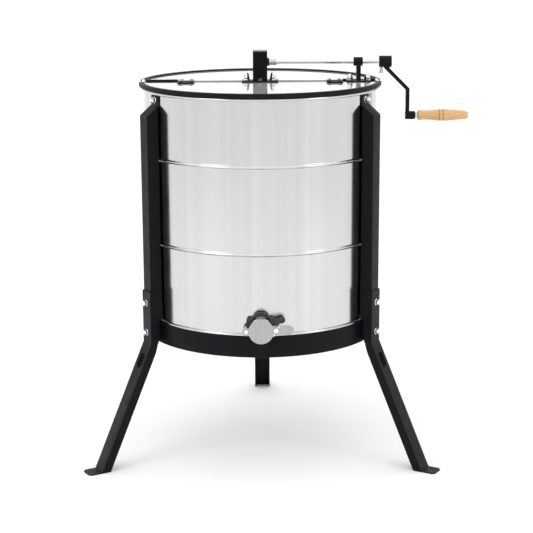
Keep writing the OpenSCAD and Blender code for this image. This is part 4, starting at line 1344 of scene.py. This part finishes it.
@dataclass
class Basket:
    """Turning basket: shaft, two spiders, rods and four screens of woven wire.

    Attributes:
        out: Distance of the outer loop from the axis.
        inner: Distance of the guard rods from the axis.
        half: Half width of a frame pocket.
        low: Height of the lower loops.
        high: Height of the upper loops.
        rod: Radius of the loops' rod.
        mesh_pitch: Distance between the wires of a screen.
        wire: Radius of the screens' wire.
    """

    out: float = 203 * MM
    inner: float = 150 * MM
    half: float = 125 * MM
    low: float = 394 * MM
    high: float = 876 * MM
    rod: float = 3.5 * MM
    mesh_pitch: float = 8.0 * MM
    wire: float = 0.5 * MM

    def loop(self, distance: float, half: float, z: float) -> list[tuple[float, float, float]]:
        """Points of an eight sided loop with a little radius at each corner."""
        corners = []
        for c, s in QUARTERS:
            for side in (-1, 1):
                corners.append(Vector((distance * c - side * half * s,
                                       distance * s + side * half * c, z)))
        points = []
        for k, here in enumerate(corners):
            before, after = corners[k - 1], corners[(k + 1) % len(corners)]
            ease = min(9 * MM, (here - before).length * 0.3, (here - after).length * 0.3)
            a = here + (before - here).normalized() * ease
            b = here + (after - here).normalized() * ease
            for t in (0.0, 0.25, 0.5, 0.75, 1.0):
                points.append(tuple(a * (1 - t) ** 2 + here * 2 * t * (1 - t) + b * t * t))
        return points

    def spider(self, z: float, hub_low: float, arm_end: float, ledges: bool) -> bmesh.types.BMesh:
        """Round rod loops, four arms, a hub and the ledges that carry the combs.

        Args:
            z: Height of the loops.
            hub_low: Lower end of the hub.
            arm_end: Height of the arms' outer ends.
            ledges: Whether the ledges are there.

        Returns:
            The welded spider.
        """
        reach = (self.out + self.half) / math.sqrt(2)
        arms = []
        for q in range(4):
            a = math.pi / 4 + q * math.pi / 2
            arms.append([(12 * MM * math.cos(a), 12 * MM * math.sin(a), hub_low + 8 * MM),
                         (reach * math.cos(a), reach * math.sin(a), arm_end)])
        hub = Shop.lathe([(10.1 * MM, hub_low), (14.2 * MM, hub_low), (15 * MM, hub_low + 0.8 * MM),
                          (15 * MM, hub_low + 15.2 * MM), (14.2 * MM, hub_low + 16 * MM),
                          (10.1 * MM, hub_low + 16 * MM)], 48)
        parts = [Shop.wires([self.loop(self.out, self.half, z)], self.rod, 12, True),
                 Shop.wires([self.loop(self.inner, self.inner * 0.93, z)], self.rod, 12, True),
                 Shop.wires(arms, 3.2 * MM, 12), hub]
        if ledges:
            bars = []
            for c, s in QUARTERS:
                bars += [[(d * c - y * s, d * s + y * c, z) for d in (self.inner, self.out)]
                         for y in (-75 * MM, 75 * MM)]
            parts.append(Shop.wires(bars, 3 * MM, 12))
        return Shop.joined(parts)

    def screen(self, build: Builder, name: str, quarter: int) -> None:
        """Plain woven wire screen in a folded edge strip.

        Args:
            build: Builder of the pieces.
            name: Side that the screen is on.
            quarter: Number of quarter turns from +X.
        """
        half, low, high = self.half - 5 * MM, self.low + 3.7 * MM, self.high - 3.7 * MM
        wave = self.wire * 0.9
        up = int((high - low) / self.mesh_pitch)
        across = int(2 * half / self.mesh_pitch)
        step_z, step_y = (high - low) / up, 2 * half / across
        lines = []
        for i in range(1, across):
            y = -half + i * step_y
            lines.append([(wave * (-1) ** (i + k), y, low + k * step_z) for k in range(up + 1)])
        for k in range(1, up):
            z = low + k * step_z
            lines.append([(-wave * (-1) ** (i + k), -half + i * step_y, z)
                          for i in range(across + 1)])
        woven = Shop.wires(lines, self.wire, 4)
        edge = Shop.wires([[(0, -half, low), (0, half, low), (0, half, high), (0, -half, high)]],
                          0.8 * MM, 8, True)
        place = (Matrix.Rotation(quarter * math.pi / 2, 4, "Z")
                 @ Matrix.Translation((self.out - self.rod - 0.95 * MM, 0, 0)))
        build.piece(f"woven_screen_{name}", Shop.put(Shop.joined([woven, edge]), place), ROD_STEEL,
                    "basket", [f"frame_screen_{name}"])

    def build(self, build: Builder) -> None:
        """Builds the basket's pieces."""
        build.piece("top_rod_spider", self.spider(self.high, 858 * MM, self.high - 6.8 * MM, False),
                    ROD_STEEL, "basket", ["basket_top_spider", "basket_top_loops"])
        build.piece("bottom_rod_spider", self.spider(self.low, 405 * MM, self.low, True),
                    ROD_STEEL, "basket", ["basket_bottom_spider"])
        for quarter, name in enumerate(("right", "rear", "left", "front")):
            self.screen(build, name, quarter)
        build.soften("basket", ("basket_posts", ROD_STEEL, 0.4),
                     ("basket_guard_rods", ROD_STEEL, 0.3), ("basket_shaft", SATIN, 0.4),
                     ("shaft_lock_collar", SATIN, 0.4), ("basket_pinion", OILED, 0.12, 1),
                     ("thrust_upper_race", OILED, 0.2))


@dataclass
class Lid:
    """Two clear half sheets with black edge trim, hinges and screws.

    Attributes:
        hinges: Ends of each hinge along X.
        bolt_y: Place of the fixed leaves' bolts along Y.
        strip_screws: Places of the strips' screws along X.
    """

    hinges: tuple[Point, ...] = ((-196.7 * MM, -157.9 * MM), (159.5 * MM, 197.3 * MM))
    bolt_y: float = 8 * MM
    strip_screws: tuple[float, ...] = (-262 * MM, -210 * MM, 210 * MM, 262 * MM)

    def screws(self, build: Builder) -> None:
        """Bolts of the fixed leaves, screws of the flap leaves and of the strips."""
        bolts, leaf = [], []
        for low, high in self.hinges:
            for number, x in enumerate((low + 6.7 * MM, high - 6.7 * MM)):
                z = 910.2 * MM
                bolts += [Shop.put(part, Matrix.Translation((x, self.bolt_y, z))) for part in (
                    PARTS.ring_of(2.3 * MM, 5 * MM, 0.0, 1.0 * MM),
                    Shop.put(PARTS.hexagon(8 * MM, 1.0 * MM, 4.2 * MM),
                             Matrix.Rotation(0.4 * number + 0.2, 4, "Z")),
                    PARTS.threaded(2.5 * MM, -12.5 * MM, 5.0 * MM, 0.8 * MM),
                    PARTS.hexagon(7.6 * MM, -13 * MM, -9.4 * MM))]
                top = 911.1 * MM
                leaf += [Shop.put(part, Matrix.Translation((x, -41 * MM, top))) for part in (
                    PARTS.screw_head(4 * MM, 2 * MM),
                    PARTS.threaded(2 * MM, -8.4 * MM, 0.1 * MM, 0.7 * MM),
                    PARTS.hexagon(6.2 * MM, -8.5 * MM, -6.5 * MM, False))]
        build.piece("hinge_hex_bolts", Shop.joined(bolts), PLATED, "stand", ["hinge_bolts"])
        build.piece("flap_leaf_pan_screws", Shop.joined(leaf), CRANK_COAT, "front_flap",
                    ["flap_leaf_screws"])
        strip = []
        for x in self.strip_screws:
            strip += [Shop.put(part, Matrix.Translation((x, 28.5 * MM, 910.6 * MM))) for part in (
                PARTS.screw_head(3.4 * MM, 2 * MM),
                PARTS.threaded(2 * MM, -8.4 * MM, 0.1 * MM, 0.7 * MM))]
        build.piece("strip_pan_screws", Shop.joined(strip), SATIN, "stand", ["rear_panel_screws"])

    def build(self, build: Builder) -> None:
        """Builds the lid's pieces."""
        build.dressed(ACRYLIC, "front_flap", "rear_panel")
        build.soften("front_flap", ("front_flap_trim", MOULDED, 1.6, 3))
        build.soften("stand", ("rear_panel_trim", MOULDED, 1.6, 3),
                     ("hinge_fixed_leaves", MOULDED, 0.6))
        build.soften("front_flap", ("hinge_flap_leaves", MOULDED, 0.6))
        build.soften("stand", ("hinge_pins", SATIN, 0.3))
        self.screws(build)


@dataclass
class Gate:
    """Honey gate: turned body, cast yoke, swinging blade, studs and wing nut.

    Attributes:
        axis_z: Height of the gate's axis.
        stud: Place of the clamping stud across and up from the axis, in mm.
        pivot: Place of the pivot bolt across and up from the axis, in mm.
    """

    axis_z: float = GATE_Z
    stud: tuple[float, float] = (34.5, 5.0)
    pivot: tuple[float, float] = (-34.0, 0.5)

    def front(self, x: float, z: float, y: float) -> Matrix:
        """Matrix that lays +Z along -Y from a place given in mm from the gate's axis."""
        return turned((0, -1, 0), (x * MM, -y * MM, self.axis_z + z * MM))

    def body(self, build: Builder) -> None:
        """Turned body with a spigot, a lip and two fine grooves."""
        line = [(16, 268), (19, 268), (19, 291), (20, 292), (25.6, 292), (26.6, 292.4), (27, 293.4),
                (27, 311), (26.6, 311.4), (26.6, 312.2), (27, 312.6), (27, 317), (26.6, 317.4),
                (26.6, 318.2), (27, 318.6), (27, 325.4), (26.5, 326.6), (25.6, 327), (20.8, 327),
                (20, 326.4), (20, 300), (16, 292)]
        bm = Shop.put(Shop.lathe(in_mm(*line), 128), self.front(0, 0, 0))
        build.piece("gate_turned_body", bm, GATE_CHROME, "stand", ["gate_body"])

    def studs(self, build: Builder) -> None:
        """Pivot bolt with a round head, and the threaded stud of the wing nut."""
        parts = []
        for place, end in ((self.pivot, 331.5), (self.stud, 345.0)):
            parts += [Shop.put(part, self.front(*place, 0.0)) for part in (
                PARTS.threaded(3 * MM, 283.3 * MM, end * MM, 1.0 * MM),
                Shop.lathe(in_mm((2.6, 292), (5, 292), (5, 326.9), (2.6, 326.9)), 40),
                PARTS.hexagon(9.6 * MM, 280.3 * MM, 283.3 * MM, False))]
        head = Shop.lathe(in_mm((0.0, 330.8), (5.2, 330.8), (5.2, 331.8), (4.8, 333.2),
                                (3.8, 334.2), (2.2, 334.7), (0.0, 334.8)), 48, closed=False)
        parts.append(Shop.put(head, self.front(*self.pivot, 0.0)))
        build.piece("gate_bolt_and_stud", Shop.joined(parts), PLATED, "stand", ["gate_studs"])

    def wing_nut(self, build: Builder) -> None:
        """Wing nut with two raised ears."""
        hub = Shop.lathe(in_mm((3.05, 0.0), (6.1, 0.0), (6.5, 0.4), (5.6, 8.4), (5.1, 9),
                               (3.05, 9)), 48)
        parts = [hub]
        ear = [(3.4, 1.8), (8.0, 4.6), (12.0, 8.6), (14.4, 12.4), (13.6, 14.2), (11.2, 14.6),
               (8.6, 12.2), (6.6, 9.2), (3.6, 8.0)]
        for side in (0.0, math.pi):
            wing = Shop.rounded(Shop.slab(in_mm(*ear), 2.8 * MM), 0.9 * MM, 3, 30)
            stand = Matrix.Translation((0, 1.4 * MM, 0)) @ Matrix.Rotation(math.pi / 2, 4, "X")
            parts.append(Shop.put(wing, Matrix.Rotation(side + math.radians(60), 4, "Z") @ stand))
        build.piece("gate_wing_nut_cast", Shop.put(Shop.joined(parts),
                    self.front(*self.stud, 330.8)), PLATED,
                    "gate_wing_nut", ["gate_wing_nut"])

    def build(self, build: Builder) -> None:
        """Builds the gate's pieces."""
        self.body(build)
        self.studs(build)
        self.wing_nut(build)
        build.soften("stand", ("gate_yoke", CAST, 1.4, 3))
        build.soften("gate_blade", ("gate_blade", BLADE_STEEL, 0.6, 3))


# ---------------------------------------------------------------- studio


@dataclass
class Studio:
    """Pale floor, soft lights and the camera.

    Attributes:
        eye: Place of the camera.
        pitch: How far the camera looks down, in radians.
        roll: Turn of the camera about its own axis, in radians.
        lens: Focal length in mm.
        low_band: Where the low dark band ends, from dark to light.
        high_band: Middle of the high dark band.
        high_reach: How far from its middle it is dark, and where it ends.
        glow: Strength of the tent's light.
    """

    eye: tuple[float, float, float] = (0.0131, -3.608, 1.2996)
    pitch: float = 0.2313
    roll: float = -0.0048
    lens: float = 100.96
    low_band: tuple[float, float] = (0.03, 0.085)
    high_band: float = 0.45
    high_reach: tuple[float, float] = (0.05, 0.14)
    glow: float = 1.34

    def camera(self) -> None:
        """Makes the camera."""
        lens = bpy.data.cameras.new("camera")
        lens.lens = self.lens
        made = bpy.data.objects.new("camera", lens)
        bpy.context.scene.collection.objects.link(made)
        look = (Matrix.Rotation(math.pi / 2 - self.pitch, 4, "X")
                @ Matrix.Rotation(self.roll, 4, "Z"))
        made.matrix_world = Matrix.Translation(self.eye) @ look
        bpy.context.scene.camera = made

    def floor(self) -> None:
        """Wide pale floor."""
        bm = bmesh.new()
        bmesh.ops.create_grid(bm, x_segments=8, y_segments=8, size=60.0)
        made = Shop.held(bm, "floor")
        paper = bpy.data.materials.new("floor_paper")
        paper.use_nodes = True
        shader = paper.node_tree.nodes["Principled BSDF"]
        shader.inputs["Base Color"].default_value = (0.93, 0.93, 0.93, 1.0)
        shader.inputs["Roughness"].default_value = 0.9
        made.data.materials.append(paper)

    def lamp(self, name: str, at: Point, aim: Point, size: Point, power: float) -> None:
        """Adds a rectangular soft light.

        Args:
            name: Name of the light.
            at: Its place.
            aim: Place that it points at.
            size: Its width and height.
            power: Its power in watts.
        """
        light = bpy.data.lights.new(name, "AREA")
        light.shape, light.size, light.size_y, light.energy = "RECTANGLE", *size, power
        made = bpy.data.objects.new(name, light)
        bpy.context.scene.collection.objects.link(made)
        made.location = at
        made.rotation_euler = (Vector(aim) - Vector(at)).to_track_quat("-Z", "Y").to_euler()

    def world(self) -> None:
        """White tent with two dark bands, which bright metal mirrors."""
        world = bpy.data.worlds.new("studio")
        world.use_nodes = True
        graph = Graph(world.node_tree)
        split = graph.add("ShaderNodeSeparateXYZ")
        graph.put(split, 0, graph.add("ShaderNodeTexCoord").outputs["Generated"])
        back = world.node_tree.nodes["Background"]
        back.inputs[0].default_value = (1.0, 1.0, 1.0, 1.0)
        low = graph.remap(split.outputs[2], *self.low_band, 0.15, 1.0)
        away = graph.math("ABSOLUTE", graph.math("SUBTRACT", split.outputs[2], self.high_band))
        side = graph.remap(away, *self.high_reach, 0.3, 1.0)
        graph.put(back, 1, graph.math("MULTIPLY", graph.math("MULTIPLY", low, side), self.glow))
        bpy.context.scene.world = world

    def build(self) -> None:
        """Builds the studio."""
        bpy.context.scene.view_settings.view_transform = "Standard"
        self.camera()
        self.floor()
        self.world()
        self.lamp("key", (-2.4, -2.2, 2.6), (0, 0, 0.6), (1.6, 1.6), 26.0)
        self.lamp("fill", (2.6, -1.8, 1.8), (0, 0, 0.6), (1.0, 2.0), 12.0)


def main() -> None:
    """Builds every piece round the frame."""
    logging.basicConfig(level=logging.INFO, format="%(message)s")
    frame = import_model()
    build = Builder(frame)
    Studio().build()
    for part in (Drum(), Legs(), Bridge(), Crank(), Basket(), Lid(), Gate()):
        LOG.info("building %s", type(part).__name__)
        part.build(build)
    LOG.info("%d pieces", build.count)


if __name__ == "__main__":
    main()
